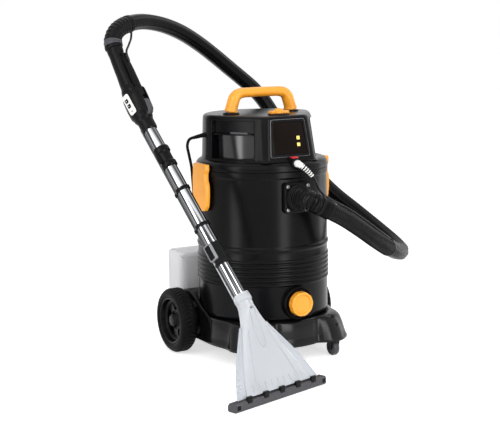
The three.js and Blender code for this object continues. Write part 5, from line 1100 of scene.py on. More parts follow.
# %% What is in the pockets
GLOSS_BLACK = finish("black_gloss", "#17171a", rough=0.20, spread=0.08, grain=0.2, dust=0.03, shine=0.6)
flank_ends = flank_line(590, 0, 0.10, 0.94, 2)
along = (flank_ends[2] - flank_ends[0]).normalized()
WALL_RADIUS = 120
wall_centre = flank_ends[1] + INWARD * (9 + WALL_RADIUS)
for label, side in (("left", lambda s: s), ("right", mirrored)):
    wall = []
    for k in range(33):
        turn = math.radians(-28 + 56 * k / 32)
        wall.append(wall_centre
                    + along * (WALL_RADIUS * math.sin(turn)) - INWARD * (WALL_RADIUS * math.cos(turn)))
    wall = [wall[0] + INWARD * 5] + wall + [wall[-1] + INWARD * 5]
    drum_wall = skinned([[Vector((p.x, p.y, z)) for p in wall] for z in (551.2, 616)])
    piece("pocket_wall_" + label + "_look", side(drum_wall), "head", GLOSS_BLACK, crease=50)
    piece("pocket_rail_" + label + "_look", side(flank_block((2.5, 14), 616, 620.5, 0.13, 0.91)), "head",
          BLACK, bevel=0.9)
    piece("pocket_tab_" + label + "_look", side(flank_block((1.6, 12), 620.5, 625, 0.48, 0.80, 4, 1.0)),
          "head", GREY, bevel=0.9)
    lip = rounded(flank_line(551, 0.2, 0.105, 0.935, 20) + flank_line(656, 0.2, 0.105, 0.935, 20)[::-1], 9,
                  closed=True)
    strip = swept(spaced(lip + lip[:1], 2.0), 1.5, 12)
    piece("pocket_lip_" + label + "_look", side(strip), "head", BLACK, crease=80)
print("pockets filled")

# %% [markdown]
# The console frame and its dark pane lean back with the cover. Both are rounded
# rectangles whose width depends on the height, and `console_ring` puts them on the slope.

# %% Console frame and pane
WINDOW_BROWN = finish("window_plastic", "#120b08", rough=0.14, spread=0.06, grain=0.08, dust=0.02, shine=0.06)
FRAME_EDGE = finish("console_edge", "#77777c", rough=0.34, spread=0.1, grain=0.4, dust=0.05)


def console_ring(grow, proud, radius=5.0):
    """The pane's outline on the slope, grown and brought forward."""
    low, high, tall = PANE_LOW - grow, PANE_HIGH + grow, PANE_HIGH - PANE_LOW
    ring = []
    for p in box_outline(2, 2, 2 * radius / tall):
        v = (p.y + 1) / 2
        z = low + (high - low) * v
        half = PANE_HALF_LOW + (PANE_HALF_HIGH - PANE_HALF_LOW) * (z - PANE_LOW) / tall + grow
        ring.append(Vector((p.x * half, console_y(z) - proud, z)))
    return ring


frame_rings = [console_ring(7, -5), console_ring(7, 1.2), console_ring(6.2, 2.5), console_ring(2.2, 2.7),
               console_ring(1.2, 2.2), console_ring(0.4, -5)]
piece("console_frame_look", skinned(frame_rings, closed=True), "head", SATIN_BLACK, crease=50)
edge_rings = [console_ring(8, -5), console_ring(8, 0.6), console_ring(7.6, 1.2), console_ring(7.1, 1.2),
              console_ring(7.1, -5)]
piece("console_edge_look", skinned(edge_rings, closed=True), "head", FRAME_EDGE, crease=50)
pane_rings = [console_ring(0.2, -3.4), console_ring(0.2, 0.1), console_ring(-0.5, 0.6)]
part("console_window", skinned(pane_rings), "head", WINDOW_BROWN, crease=30)
print("console ring of", len(frame_rings[0]), "points")

# %% [markdown]
# The two lamps are small square lenses. A weak emission lifts them above plain plastic,
# as a lit neon lamp behind a lens does, without throwing light on the console.

# %% Lamps
LAMP = finish("lamp_plastic", "#e8cf6a", rough=0.25, spread=0.1, grain=0.4, dust=0.02)
fill(LAMP.node_tree.nodes["Principled BSDF"],
     {"Emission Color": linear("#ffe27a"), "Emission Strength": 0.35})
LAMP_X = 27.8
for label, z in (("lower", 590.6), ("upper", 608.4)):
    lens = rounded([(23.2, -4.6), (32.4, -4.6), (32.4, 4.6), (23.2, 4.6)], 1.2, closed=True, steps=3)
    rings = [[Vector((LAMP_X + (p[0] - LAMP_X) * s, console_y(z + p[1] * s) - proud, z + p[1] * s))
              for p in lens]
             for s, proud in ((1, -2), (1, 1.5), (0.82, 2.2))]
    part("lamp_" + label, skinned(rings), "head", LAMP, crease=40)
print("two lamps 18 mm apart")

# %% [markdown]
# The carrying handle is a thick oval bar, swept along a path that goes up, over and down
# again. Its feet flare before they go into the black collars on the cover.

# %% Handle, collars and knob
handle_path = spaced(curve_through([
    (-95, 0, 673.6), (-93, 0, 682), (-87, 0, 701), (-83.5, 0, 710), (-76, 0, 718.5), (-63, 0, 723.6),
    (-30, 0, 725),
    (0, 0, 725.3), (30, 0, 725), (63, 0, 723.6), (76, 0, 718.5), (83.5, 0, 710), (87, 0, 701), (93, 0, 682),
    (95, 0, 673.6)], 10), 2.0)
handle_length = length_of(handle_path)
ACROSS = Vector((0, 1, 0))


def handle_ring(point, other, walked, count=40):
    """The bar's oval at a distance, thicker down its posts and flared at its feet."""
    to_end = min(walked, handle_length - walked)
    post = max(0.0, min(1.0, (75 - to_end) / 40))
    flare = 1 + 0.14 * max(0.0, 1 - to_end / 16) ** 2
    wide, deep = (16.5 + 2.5 * post) * flare, (13.4 + 2.6 * post) * flare
    if to_end < 1.5:
        wide, deep = wide * 0.94, deep * 0.94
    return oval(point, ACROSS, other, wide, deep, count)


rings = [handle_ring(point, other, walked) for walked, point, _, other, _ in walk(handle_path, ACROSS)]
part("carry_handle", skinned(rings), "head", YELLOW, crease=60)
COLLAR = rounded([(14, 664), (22.6, 664), (23.2, 668), (22.6, 671), (21, 672.4), (15, 672.6),
                  (13, 671), (13, 664)], 0.8)
for label, sign in SIDES:
    piece("handle_collar_" + label + "_look", moved(turned(COLLAR, 64, closed=True),
          shift(sign * 94, 0, 0)), "head", SATIN_BLACK)
    plug = rod(9.6, 655, 676, 32)
    piece("handle_post_" + label + "_look", moved(plug, shift(sign * 93, 0, 0)), "head", YELLOW)

dial = turned(rounded([(0, 664), (31, 664), (31, 669), (29.6, 671), (24, 671), (22.6, 669.8), (20, 669.8),
                       (19, 671), (0, 671)], 0.6), 96)
DIAL_PLACE = shift(0, -96, 0)
piece("switch_dial_look", moved(dial, DIAL_PLACE), "head", SATIN_BLACK)


def wing_ring(z, inset):
    """The knob's wing seen from above, wider at its two ends."""
    upper = [Vector((x, 4.6 + 6.2 * (abs(x) / 28) ** 1.7 - inset, z)) for x in range(-28, 29, 4)]
    line = [Vector((p.x * (1 - inset / 28), p.y, z)) for p in upper]
    return rounded(line + [Vector((p.x, -p.y, z)) for p in reversed(line)], 3, closed=True, steps=3)


knob_rings = [wing_ring(z, inset)
              for z, inset in ((671.4, 0.4), (672, 0), (676, 0.3), (678.2, 1.2), (679.2, 2.8))]
hub = turned(rounded([(0, 671.4), (14, 671.4), (13, 680), (9, 684.4), (0, 686)], 1.6), 64)
knob = joined(skinned(knob_rings), hub)
part("switch_knob", moved(knob, DIAL_PLACE), "knob", YELLOW, crease=50)
print("handle %.0f mm along its middle" % handle_length)

# %% [markdown]
# ## Latches
# A latch is a shallow yellow cap that narrows in steps to its pull tab. The outline is
# pushed sideways, its face drawn in, and the back hollowed so that it can close over
# the ledge on the drum.

# %% Latches
LATCH = [(-38, 127.5), (33, 127.5), (38.5, 84), (38, 44), (25, 5), (19, 0), (-25, 0), (-35, 13), (-39.5, 40),
         (-39.5, 72), (-32.5, 85), (-32.5, 103), (-38, 110)]
LATCH_Z = 412
latch_line = rounded([(0, y, z) for y, z in LATCH], 4.5, closed=True, steps=4)


def latch_ring(sign, x, scale):
    """The latch's outline at a distance from the middle plane, drawn in by a scale."""
    middle = Vector((0, 0, 67))
    return [Vector((sign * x, 0, LATCH_Z)) + middle + (p - middle) * scale for p in latch_line]


ROOM = [(-35, 124.6), (30.6, 124.6), (35.4, 84), (34.6, 48), (16, 25), (-16, 25), (-36, 44), (-36, 71),
        (-29, 84), (-29, 104), (-35, 111)]
for label, sign in SIDES:
    skin = skinned([latch_ring(sign, x, scale) for x, scale in (
        (184.2, 0.995), (184.8, 1), (193.4, 1), (195.2, 0.992), (196.6, 0.972), (197.3, 0.94), (197.4, 0.9))])
    latch = part("latch_" + label, skin, "latch_" + label + "_body", YELLOW, crease=50)
    room = rounded([(0, y, z + LATCH_Z) for y, z in ROOM], 4, closed=True)
    cut_by(latch, tool(skinned([[Vector((sign * x, p.y, p.z)) for p in room] for x in (180, 194.6)])))
    ridge = rounded([(0, y, z) for y, z in ((-24, 452), (24, 452), (24, 455), (-24, 455))], 1.2, closed=True)
    ridges = [skinned([[Vector((sign * x, p.y * s, p.z + 8 * k)) for p in ridge] for x, s in (
        (196.4, 1), (198, 0.98))]) for k in range(3)]
    piece("latch_grip_" + label + "_look", joined(*ridges), "latch_" + label + "_body", YELLOW)
print("latches 128 mm tall")

# %% [markdown]
# ## Inlet
# The hose leaves the drum through a square flange with a collar, four screws and a
# turning elbow. The screws are shiny: little turned heads with a round recess.

# %% Inlet flange and screws
def flange_ring(y, inset):
    outline = box_outline(82 - 2 * inset, 82 - 2 * inset, 12 - inset * 0.4, steps=6)
    return [Vector((p.x, y, p.y + INLET_Z)) for p in outline]


flange_rings = [flange_ring(y, inset) for y, inset in (
    (-172, 0), (-186.5, 0), (-189.4, 0.8), (-190.7, 2.4), (-191, 5))]
flange = part("inlet_flange", skinned(flange_rings), "chassis", BLACK, crease=50)
cut_by(flange, tool(rod(181.4, 380, 530, 168)))
COLLAR_RING = rounded([(19, -18), (23.7, -18), (23.7, 0), (36, 0), (36, 3), (33.4, 4.4), (33.4, 7.6), (36, 9),
                       (36, 12), (34, 12.4), (19, 12.4)], 0.8)
piece("inlet_collar_look", facing_front(turned(COLLAR_RING, 96, closed=True), 0, -191, INLET_Z), "chassis",
      SATIN_BLACK)
SCREW = turned(rounded([(0, 0), (5.4, 0), (5.4, 1.6), (4.4, 2.8), (2.4, 3.2), (2.2, 1.6), (0, 1.6)], 0.5), 40)
WASHER = turned(rounded([(0, -2), (8, -2), (8, 0.5), (7, 1.4), (5.8, 1.4), (5.6, 0.3), (0, 0.3)], 0.5), 40)
for name_x, sign_x in SIDES:
    for name_z, sign_z in (("lower", -1), ("upper", 1)):
        spot = (sign_x * 31, -191, INLET_Z + sign_z * 31)
        piece("inlet_boss_%s_%s_look" % (name_z, name_x), facing_front(WASHER, *spot), "chassis", BLACK)
        piece("inlet_screw_%s_%s_look" % (name_z, name_x), facing_front(SCREW, *spot), "chassis", SCREW_STEEL)
print("flange 82 mm square")

# %% Elbow and cuff
def bezier(points, steps):
    """A curve pulled by its inner points, from the first to the last."""
    result = []
    for i in range(steps + 1):
        row, t = [Vector(p) for p in points], i / steps
        while len(row) > 1:
            row = [a.lerp(b, t) for a, b in zip(row, row[1:])]
        result.append(row[0])
    return result


def stepped(stations):
    """Radius at a distance, read from (distance, radius) stations."""
    def at(walked, turn):
        for (s0, r0), (s1, r1) in zip(stations, stations[1:]):
            if walked <= s1:
                return r0 + (r1 - r0) * max(0.0, walked - s0) / max(s1 - s0, 1e-6)
        return stations[-1][1]
    return at


cuff_start = ELBOW_CORNER + HOSE_AHEAD * 28
elbow_path = spaced([Vector((0, -203.4, INLET_Z)), Vector((0, -226, INLET_Z))]
                    + bezier([(0, -226, INLET_Z), ELBOW_CORNER, cuff_start], 40)[1:], 1.0)
elbow_stations = [(0, 32.6), (0.8, 33.8), (3.6, 34), (4.4, 33), (5, 29.4), (8, 29), (9, 31.4), (11, 32),
                  (12.4, 31), (13, 28.4)]
elbow_length = length_of(elbow_path)
for k in range(7):
    at = 15 + (elbow_length - 19) * k / 7
    wide = 30.4 - 0.6 * k
    elbow_stations += [(at, wide - 3), (at + 1.2, wide), (at + 4.2, wide), (at + 5.4, wide - 3)]
elbow_stations += [(elbow_length - 3, 25), (elbow_length, 24.6)]
part("inlet_elbow", swept(elbow_path, stepped(elbow_stations), 56, bore=19.5), "chassis", BLACK, crease=35)
cuff_path = spaced([cuff_start + HOSE_AHEAD * 0.3, ELBOW_CORNER + HOSE_AHEAD * 70], 0.5)
cuff_stations = [(0, 25.4), (0.8, 27), (2.4, 27.6), (7.6, 27.6), (8.6, 27), (9.2, 24.6)]
for k in range(4):
    at = 12 + 5.2 * k
    cuff_stations += [(at, 23.8), (at + 0.8, 25.8), (at + 2.6, 25.8), (at + 3.4, 23.8)]
cuff_stations += [(33.4, 24), (34.2, 25.6), (35.6, 26), (40.4, 26), (41.2, 25.4), (41.7, 24.4)]
part("hose_cuff", swept(cuff_path, stepped(cuff_stations), 56, bore=18.4), "chassis", SATIN_BLACK, crease=35)
print("elbow %.0f mm, cuff %.0f mm" % (length_of(elbow_path), length_of(cuff_path)))

# %% [markdown]
# ## Spray coupling
# A white ribbed plug carries the spray water out of the head, and a red tab above it
# lets it go.

# %% Coupling plug and red tab
plug_path = spaced(curve_through([(0, -187.2, 543.7), (0, -191, 543.7), (2, -197, 542), (9, -205, 535),
                                  (23, -210, 521), (35, -212, 508)], 12), 0.4)
plug_length = length_of(plug_path)
plug_stations = [(0, 9), (0.8, 9.6), (7.4, 9.6), (8.2, 9), (8.8, 8.4), (17, 8.2), (18, 7.6)]
RELIEF_RINGS = 6
relief_step = (plug_length - 21) / RELIEF_RINGS
for k in range(RELIEF_RINGS):
    at, width = 20 + relief_step * k, 7.6 - 0.34 * k
    plug_stations += [(at, 3.4), (at + 0.5, width), (at + relief_step * 0.46, width),
                      (at + relief_step * 0.5, 3.4)]
plug_stations += [(plug_length, 3.4)]
part("coupling_plug", swept(plug_path, stepped(plug_stations), 32), "chassis", WHITE, crease=35)
relief_core = [p for k, p in enumerate(plug_path) if k * 0.4 > 19]
piece("coupling_core_look", swept(relief_core, 3.7, 24), "chassis", HOSE_BLACK)
tab_rings = []
for z, inset in ((557.2, 0.2), (557.6, 0), (560.2, 0), (561, 0.8)):
    tab_rings.append([Vector((p.x + 1, p.y - 172, z))
                      for p in box_outline(19 - 2 * inset, 13 - 2 * inset, 2)])
part("coupling_release", skinned(tab_rings), "coupling_tab", RED, crease=40)
print("plug %.0f mm along its middle" % plug_length)

# %% [markdown]
# ## Water tubes
# A thin tube leaves the white plug, crosses to the top of the hose and runs along it
# into the sleeve. It leaves the sleeve's far end downwards and loops over to the lever.

# %% Water tubes
def on_hose(at, lift):
    """A point above the hose's middle, a distance along it."""
    point, ahead_here = HOSE_PATH[at], (HOSE_PATH[at + 1] - HOSE_PATH[at - 1]).normalized()
    above = (Vector((0, 0, 1)) - ahead_here * ahead_here.z).normalized()
    return point + above * lift


tube_from = plug_path[-1]
tube_ahead = (plug_path[-1] - plug_path[-3]).normalized()
tube_points = [tube_from + tube_ahead * 0.2, tube_from + tube_ahead * 5, (43, -216, 492), (48, -220, 476),
               (59, -229, 459), (78, -239, 445)]
tube_points += [on_hose(at, lift) for at, lift in ((30, 28), (69, 27.6), (108, 27.2), (148, 27), (187, 26.8),
                                                   (226, 26), (248, 24.6))]
tube_path = spaced(curve_through(tube_points, 14), 1.5)
water_tube = part("water_tube", swept(tube_path, 3.0, 20), "chassis", HOSE_BLACK)
in_metres(tube_path, 6)

TUBE_MM = MACHINE.inverted() @ TUBE
hose_end = HOSE_PATH[-1]
hose_back = (HOSE_PATH[-1] - HOSE_PATH[-3]).normalized()
near_end = HOSE_PATH[-8]
down = Vector((0.09, 0.16, -0.98))
down = (down - hose_back * down.dot(hose_back)).normalized()
loop_start = near_end + down * 22.4
lever_top = -55.3
lever_mouth = TUBE_MM @ Vector((0, lever_top - 4, 734))
away = (down + (lever_mouth - loop_start).normalized()).normalized()
loop_points = [loop_start, loop_start + away * 18, loop_start.lerp(lever_mouth, 0.5) + away * 7, lever_mouth,
               TUBE_MM @ Vector((0, lever_top + 1, 712))]
loop_path = spaced(curve_through(loop_points, 14), 1.5)
water_loop = part("water_tube_loop", swept(loop_path, 3.0, 20), "chassis", HOSE_BLACK)
in_metres(loop_path, 6)
print("water tube %.0f mm, loop %.0f mm" % (length_of(tube_path), length_of(loop_path)))

# %% [markdown]
# ## The wand
# From here the drawing is along the wand's tube: +Z goes up the tube, -X faces the
# camera's left, and -Y is the upper side. The grip is a skin over ovals whose size
# comes from a short table of stations.

# %% Grip
GRIP_LINE = spaced(curve_through([(0, 0, 524), (0, 0, 560), (0, -1, 594), (0, -6, 644), (0, -15, 709),
                                  (0, -28, 772)], 24), 2.0)
GRIP_LENGTH = length_of(GRIP_LINE)
GRIP_STOPS = [(0, 20, 20), (3, 21.6, 21.6), (12, 22, 22), (26, 22, 22), (40, 25, 28), (54, 27, 34),
              (78, 27.4, 35.4),
              (100, 27, 35), (122, 24, 29), (140, 21, 23.4), (180, 20, 21), (GRIP_LENGTH - 20, 20.5, 21),
              (GRIP_LENGTH - 8, 22, 22), (GRIP_LENGTH, 22, 22)]


def between(stops, at):
    """Values at a place, eased between the stations of a table."""
    for (s0, *low), (s1, *high) in zip(stops, stops[1:]):
        if at <= s1:
            t = min(1.0, max(0.0, (at - s0) / (s1 - s0)))
            t = t * t * (3 - 2 * t)
            return [a + (b - a) * t for a, b in zip(low, high)]
    return list(stops[-1][1:])


def oval_skin(path, stops, count=48):
    """A skin over ovals along a path, their radii from a table of stations."""
    rings, sideways = [], Vector((1, 0, 0))
    for walked, point, _, _, ahead_here in walk(path, sideways):
        other = ahead_here.cross(sideways).normalized()
        rings.append(oval(point, sideways, other, *between(stops, walked), count))
    return skinned(rings)


def side_block(outline, half, inset=0.0, radius=2.0):
    """An outline in Y and Z along the tube, pushed to both sides of X = 0."""
    line = rounded([(0, y, z) for y, z in outline], radius, closed=True, steps=4)
    middle = sum(line, Vector()) / len(line)
    rings = []
    for x, s in ((-half, 1 - inset), (-half + 1.2, 1), (half - 1.2, 1), (half, 1 - inset)):
        rings.append([Vector((x, 0, 0)) + middle + (p - middle) * s for p in line])
    return skinned(rings)


def lever_outline(grow, sink):
    """The lever in Y and Z, grown all round and sunk towards the grip."""
    return [(-30 + grow, 606 - grow), (-42 - grow, 612 - grow), (-44 - grow, 630), (-50 - grow, 690),
            (-52 - grow, 742 + grow), (-47 + grow + sink, 744 + grow), (-40 + grow + sink * 0.7, 700),
            (-31 + grow + sink * 0.3, 650), (-29 + grow, 630)]


grip = part("hand_grip", oval_skin(GRIP_LINE, GRIP_STOPS), "chassis", SATIN_BLACK, place=TUBE, crease=60)
panel_seat = rounded([(0, -16.4, 577.6), (0, 8.4, 577.6), (0, 8.4, 636.4), (0, -16.4, 636.4)], 6, closed=True)
cut_by(grip, tool(side_block(lever_outline(1.2, 6.5), 7.5), TUBE),
       tool(skinned([[p + Vector((x, 0, 0)) for p in panel_seat] for x in (-40, -26)]), TUBE))
BULGE = [(-26, 556), (-37, 559), (-45, 574), (-45, 592), (-38, 603), (-26, 603)]
piece("grip_bulge_look", side_block(BULGE, 8, 0.12, 5), "chassis", GREY, place=TUBE, crease=50)
EARS = [(-26, 560), (-38, 566), (-44, 606), (-46, 632), (-40, 640), (-24, 640), (-24, 560)]
ears = [moved(side_block(EARS, 2, 0.05, 4), shift(x, 0, 0)) for x in (-10, 10)]
pin = moved(rod(3, -12.6, 12.6, 24),
            shift(0, -36, 622) @ spin(90, "Y"))
piece("grip_ears_look", joined(*ears, pin), "chassis", SATIN_BLACK, place=TUBE, crease=50)
print("grip %.0f mm long" % GRIP_LENGTH)

# %% [markdown]
# The lever is long and slightly curved. A row of shallow ridges across its top is what
# the fingers feel; they are thin bars that follow its edge.

# %% Lever, panel and buttons
lever = side_block(lever_outline(0, 0), 6, 0.035, 3)
ridges = []
for k in range(12):
    t = k / 11
    y, z = -46.2 - 5.6 * t, 652 + 82 * t
    ridges.append(block((-4.6, 4.6), (y - 0.9, y + 1), (z, z + 2.4), 0.5, steps=2))
part("spray_trigger", joined(lever, *ridges), "trigger", SATIN_BLACK, place=TUBE, crease=40)


def facing_left(outline, low, high, edge=0.6):
    """An outline in Y and Z, standing from x = low out to x = high, its face drawn in."""
    middle = sum(outline, Vector()) / len(outline)
    rings = [[Vector((low, p.y, p.z)) for p in outline], [Vector((high + edge, p.y, p.z)) for p in outline]]
    near = [middle + (p - middle) * (1 - edge / 12) for p in outline]
    rings.append([Vector((high, p.y, p.z)) for p in near])
    return skinned(rings)


def tablet(width, height, z, radius, y=0):
    """A rounded rectangle in Y and Z."""
    w, h = width / 2, height / 2
    return rounded([(0, y - w, z - h), (0, y + w, z - h), (0, y + w, z + h), (0, y - w, z + h)], radius,
                   closed=True, steps=6)


part("grip_panel", facing_left(tablet(24, 58, 607, 6, -4), -26.2, -29.4), "chassis", WHITE, place=TUBE,
     crease=40)
for label, at in (("lower", 602), ("upper", 618)):
    key = facing_left(tablet(10, 10, at, 1.4, -4), -28, -31.9, 0.5)
    part("grip_button_" + label, key, "grip_button_" + label + "_body", SATIN_BLACK, place=TUBE, crease=40)
    mark = facing_left(tablet(2.6, 2.6, at, 0.8, -4), -31.6, -32.2, 0.2)
    piece("grip_button_mark_" + label + "_look", mark, "grip_button_" + label + "_body", WHITE, place=TUBE)
pip = turned(rounded([(0, 0), (2.4, 0), (2.4, 1), (1.6, 1.8), (0, 2)], 0.4), 24)
piece("panel_pip_look", moved(pip, shift(-29.2, -4, 586) @ spin(-90, "Y")),
      "chassis", PALE_GREY, place=TUBE)
print("two buttons 16 mm apart")

# %% [markdown]
# A ribbed elbow joins the grip to the hose. It bends in space, so its path is a curve
# pulled by the two directions that it has to meet.

# %% Hose-end elbow
grip_ahead = (GRIP_LINE[-1] - GRIP_LINE[-2]).normalized()
bend_start = TUBE_MM @ (GRIP_LINE[-1] + grip_ahead * 0.3)
start_ahead = (TUBE_MM.to_3x3() @ grip_ahead).normalized()
bend_end = hose_end + hose_back * 0.3
bend_pulls = [bend_start, bend_start + start_ahead * 44, bend_end + hose_back * 40, bend_end]
bend_path = spaced(bezier(bend_pulls, 60), 0.8)
bend_length = length_of(bend_path)
bend_stations = [(0, 21.4), (1, 23.6), (3, 25), (8, 25), (9, 23.4), (23, 23.2), (23.8, 24.6), (25, 24.8),
                 (27, 24.6), (28, 22.8)]
for k in range(7):
    at = 30 + (bend_length - 30 - 13) * k / 7
    bend_stations += [(at, 22.6), (at + 1.4, 23.6), (at + 4, 23.6), (at + 5.4, 22.6)]
bend_stations += [(bend_length - 11, 22), (bend_length - 10.2, 24), (bend_length - 1, 24.2),
                  (bend_length, 23.4)]
part("hose_end_elbow", swept(bend_path, stepped(bend_stations), 48, bore=17.4), "chassis", SATIN_BLACK,
     crease=35)
band = [p for k, p in enumerate(bend_path) if 9.0 < k * bend_length / (len(bend_path) - 1) < 22.5]


def band_radius(walked, turn):
    """A grey band with one low bead round it."""
    return 25.2 if 5 < walked < 7.5 else 24.3


piece("hose_end_band_look", swept(band, band_radius, 48, bore=22.6), "chassis", GREY)
print("elbow %.0f mm round its bend" % bend_length)

# %% [markdown]
# The tubes are thin chromed steel. Each is a turned ring with a slightly rolled edge, so
# that the end catches the light.

# %% Tubes and the lock sleeve
def tube_ring(outer, inner, low, high):
    """A tube with slightly rolled edges."""
    wall = rounded([(inner, low), (outer, low), (outer, high), (inner, high)], 0.5, closed=True, steps=3)
    return turned(wall, 72, closed=True)


for name, shape, body in (
    ("inner_tube", tube_ring(15.2, 13.7, -22, 325), "telescope"),
    ("outer_tube", tube_ring(17.5, 15.7, 115, 412), "chassis"),
    ("upper_tube", tube_ring(17.5, 15.7, 412.3, 535), "chassis"),
):
    part(name, shape, body, CHROME, place=TUBE)
LOCK_PROFILE = rounded([(17.8, 404), (19.6, 404), (21.5, 407), (21.5, 418), (19, 421), (19, 446), (22.5, 450),
                        (22.5, 462), (20.5, 466), (17.8, 466)], 1.0)
lock = turned(LOCK_PROFILE, 72, closed=True)
clip_block = skinned([[Vector((x, p.x, p.y + 432)) for p in box_outline(w, h, 2)] for x, w, h in (
    (-18.4, 9, 25), (-24.6, 9, 25), (-26, 7.4, 23))])
part("lock_sleeve", joined(lock, clip_block), "chassis", BLACK, place=TUBE, crease=35)
print("tube overlap 210 mm")

# %% [markdown]
# Where the thin tube slides into the thick one, a black collar grips it. The oblong
# button in the pale frame on its side frees the tube.

# %% Telescope collar and button
COLLAR_PROFILE = rounded([(15.5, 106), (20.6, 106), (21.4, 108), (21.4, 112), (19.6, 114), (19.6, 163),
                          (20.4, 164), (20.4, 167), (17.9, 167), (17.9, 114.8), (15.5, 114.8)], 0.8)
collar_piece = part("telescope_collar", turned(COLLAR_PROFILE, 96, closed=True), "chassis", SATIN_BLACK,
                    place=TUBE, crease=35)
BUTTON_Z = 144


def frame_ring(width, height, x, radius):
    return [Vector((x, p.y, p.z)) for p in tablet(width, height, BUTTON_Z, radius)]


button_frame = skinned([frame_ring(26, 46, -17.6, 5), frame_ring(26, 46, -24, 5),
                        frame_ring(24.6, 44.6, -25.5, 4.6),
                        frame_ring(19.8, 39.8, -25.5, 3.4), frame_ring(19, 39, -24.6, 3),
                        frame_ring(19, 39, -17.6, 3)],
                       closed=True)
window = pushed([(9, -40), (60, -40), (60, 40), (9, 40)], 127, 160)
cut_by(collar_piece, tool(window, TUBE),
       tool(skinned([frame_ring(18, 38, -40, 3), frame_ring(18, 38, -10, 3)]), TUBE))
piece("collar_frame_look", button_frame, "chassis", PALE_GREY, place=TUBE, crease=35)
oblong = skinned([frame_ring(17.4, 37.4, -20.4, 2.8), frame_ring(17.4, 37.4, -24.8, 2.8),
                  frame_ring(15.8, 35.8, -25.7, 2.4)])
grips = []
for k in range(5):
    z = 134 + k * 5
    grips.append(skinned([[Vector((x, y, zz))
                           for y, zz in ((-6, z - 0.8), (6, z - 0.8), (6, z + 0.8), (-6, z + 0.8))]
                          for x in (-25.4, -26.3)]))
part("release_button", joined(oblong, *grips), "release_button_body", SATIN_BLACK, place=TUBE, crease=40)
print("collar from 106 to 167 mm up the tube")

# %% [markdown]
# Under the tube runs the water pipe, held by two clips, and in the thin lower tube's
# reach a steel spray pipe goes on down to the nozzle.

# %% Pipes and clips
PIPE_Y = 27
pipe_line = [Vector((0, PIPE_Y, 127 + 417 * k / 20)) for k in range(21)]
part("water_pipe", swept(pipe_line, 4, 24, bore=2.9), "chassis", GREY, place=TUBE)
spray_line = [Vector((0, PIPE_Y, -60 + 330 * k / 20)) for k in range(21)]
part("spray_pipe", swept(spray_line, 2.5, 20), "telescope", STEEL, place=TUBE)


def clip_shape(z):
    """A ring on the tube and a smaller one on the pipe, with a web between them."""
    ring = turned(rounded([(17.8, z), (20.5, z), (20.5, z + 9), (17.8, z + 9)], 0.7, closed=True), 64,
                  closed=True)
    ear = turned(rounded([(4.3, z), (6.5, z), (6.5, z + 9), (4.3, z + 9)], 0.7, closed=True), 40, closed=True)
    web = block((-4.4, 4.4), (19.6, 22.4), (z + 0.3, z + 8.7), 0.6)
    return joined(ring, moved(ear, shift(0, PIPE_Y, 0)), web)


for label, at in (("upper", 330), ("lower", 218)):
    part("pipe_clip_" + label, clip_shape(at), "chassis", BLACK, place=TUBE, crease=40)
print("pipes 27 mm off the tube's axis")

# %% [markdown]
# ## The floor nozzle
# The nozzle is clear plastic so that the dirty water can be seen. It has a thick hollow
# middle with a thin flange to each side. The outline comes from a table along its
# height; the power bends each ring from a flat box into a circle at the neck.

# %% Frosted plastic
FROSTED = clear_finish("frosted_plastic", "#eef1f5", 0.30, 0.60, ior=1.49, grain=0.5, depth=0.0003)
WING_EDGE = clear_finish("wing_plastic", "#ccd0d7", 0.26, 0.30, ior=1.49, grain=0.5, depth=0.0003)
FAN = curve_through([(0, 146, 8), (0.25, 119, 8.5), (0.5, 82, 10), (0.68, 53, 12.5), (0.8, 35, 16),
                     (0.88, 26, 19.5), (0.94, 21.5, 21), (1.06, 20.5, 20.5)], 8)
FAN_RUN, FAN_RISE, FOOT_Z, FOOT_TILT = 117, 205.6, 24, 24
NECK_STAND = shift(*NECK) @ spin(-LEAN, "X")
print("fan of %d levels" % len(FAN))


# %% Nozzle body
def fan_place(t):
    """Middle and thickness direction of the fan at a share of its height."""
    middle = Vector((0, t * FAN_RUN, FOOT_Z + t * FAN_RISE))
    tilt = math.radians(FOOT_TILT + (LEAN - FOOT_TILT) * min(1.0, t))
    return middle, Vector((0, math.cos(tilt), -math.sin(tilt)))


def fan_ring(t, a, b, power, count=56):
    """A ring of the fan: the lower the power, the more it is a box."""
    middle, flat = fan_place(t)
    ring = []
    for k in range(count):
        turn = 2 * math.pi * k / count
        c, s = math.cos(turn), math.sin(turn)
        x = math.copysign(abs(c) ** power, c) * a
        y = math.copysign(abs(s) ** power, s) * b
        ring.append(middle + Vector((x, 0, 0)) + flat * y)
    return ring


def fan_power(t):
    """From a flat box at the mouth to a circle at the neck."""
    return 0.45 + 0.55 * min(1.0, t / 0.9)


def plenum_share(t):
    """How much of the width the thick middle takes: all of it at the neck."""
    return 0.80 + 0.20 * min(1.0, max(0.0, (t - 0.45) / 0.4)) ** 1.5


outer_rings = [fan_ring(t, a * plenum_share(t), b, fan_power(t)) for t, a, b in FAN]
inner_rings = [fan_ring(t, a * plenum_share(t) - 2.6, b - 2.6, fan_power(t)) for t, a, b in FAN if t < 0.9]
plenum = skinned(outer_rings + inner_rings[::-1], closed=True)
nozzle = part("nozzle_body", plenum, "telescope", FROSTED, place=WAND, crease=50)
neck_tool = moved(rod(15.5, -31, 40, 64), NECK_STAND)
wings = skinned([fan_ring(t, a, 1.9, 0.6) for t, a, b in FAN if t < 0.72])
piece("nozzle_wings_look", wings, "telescope", WING_EDGE, place=WAND, crease=50)
rims = []
for sign in (-1, 1):
    line = [fan_place(t)[0] + Vector((sign * (a - 1.4), 0, 0)) for t, a, b in FAN if t < 0.72]
    rims.append(swept(spaced(line, 3.0), 2.6, 12))
piece("nozzle_rims_look", joined(*rims), "telescope", WING_EDGE, place=WAND, crease=80)
cut_by(nozzle, tool(neck_tool, WAND))
print("nozzle 292 mm wide at the mouth")

# %% [markdown]
# Ribs and a raised loop stiffen its face. They are thin bars laid on the face, along
# lines given by a share of the width and a share of the height.

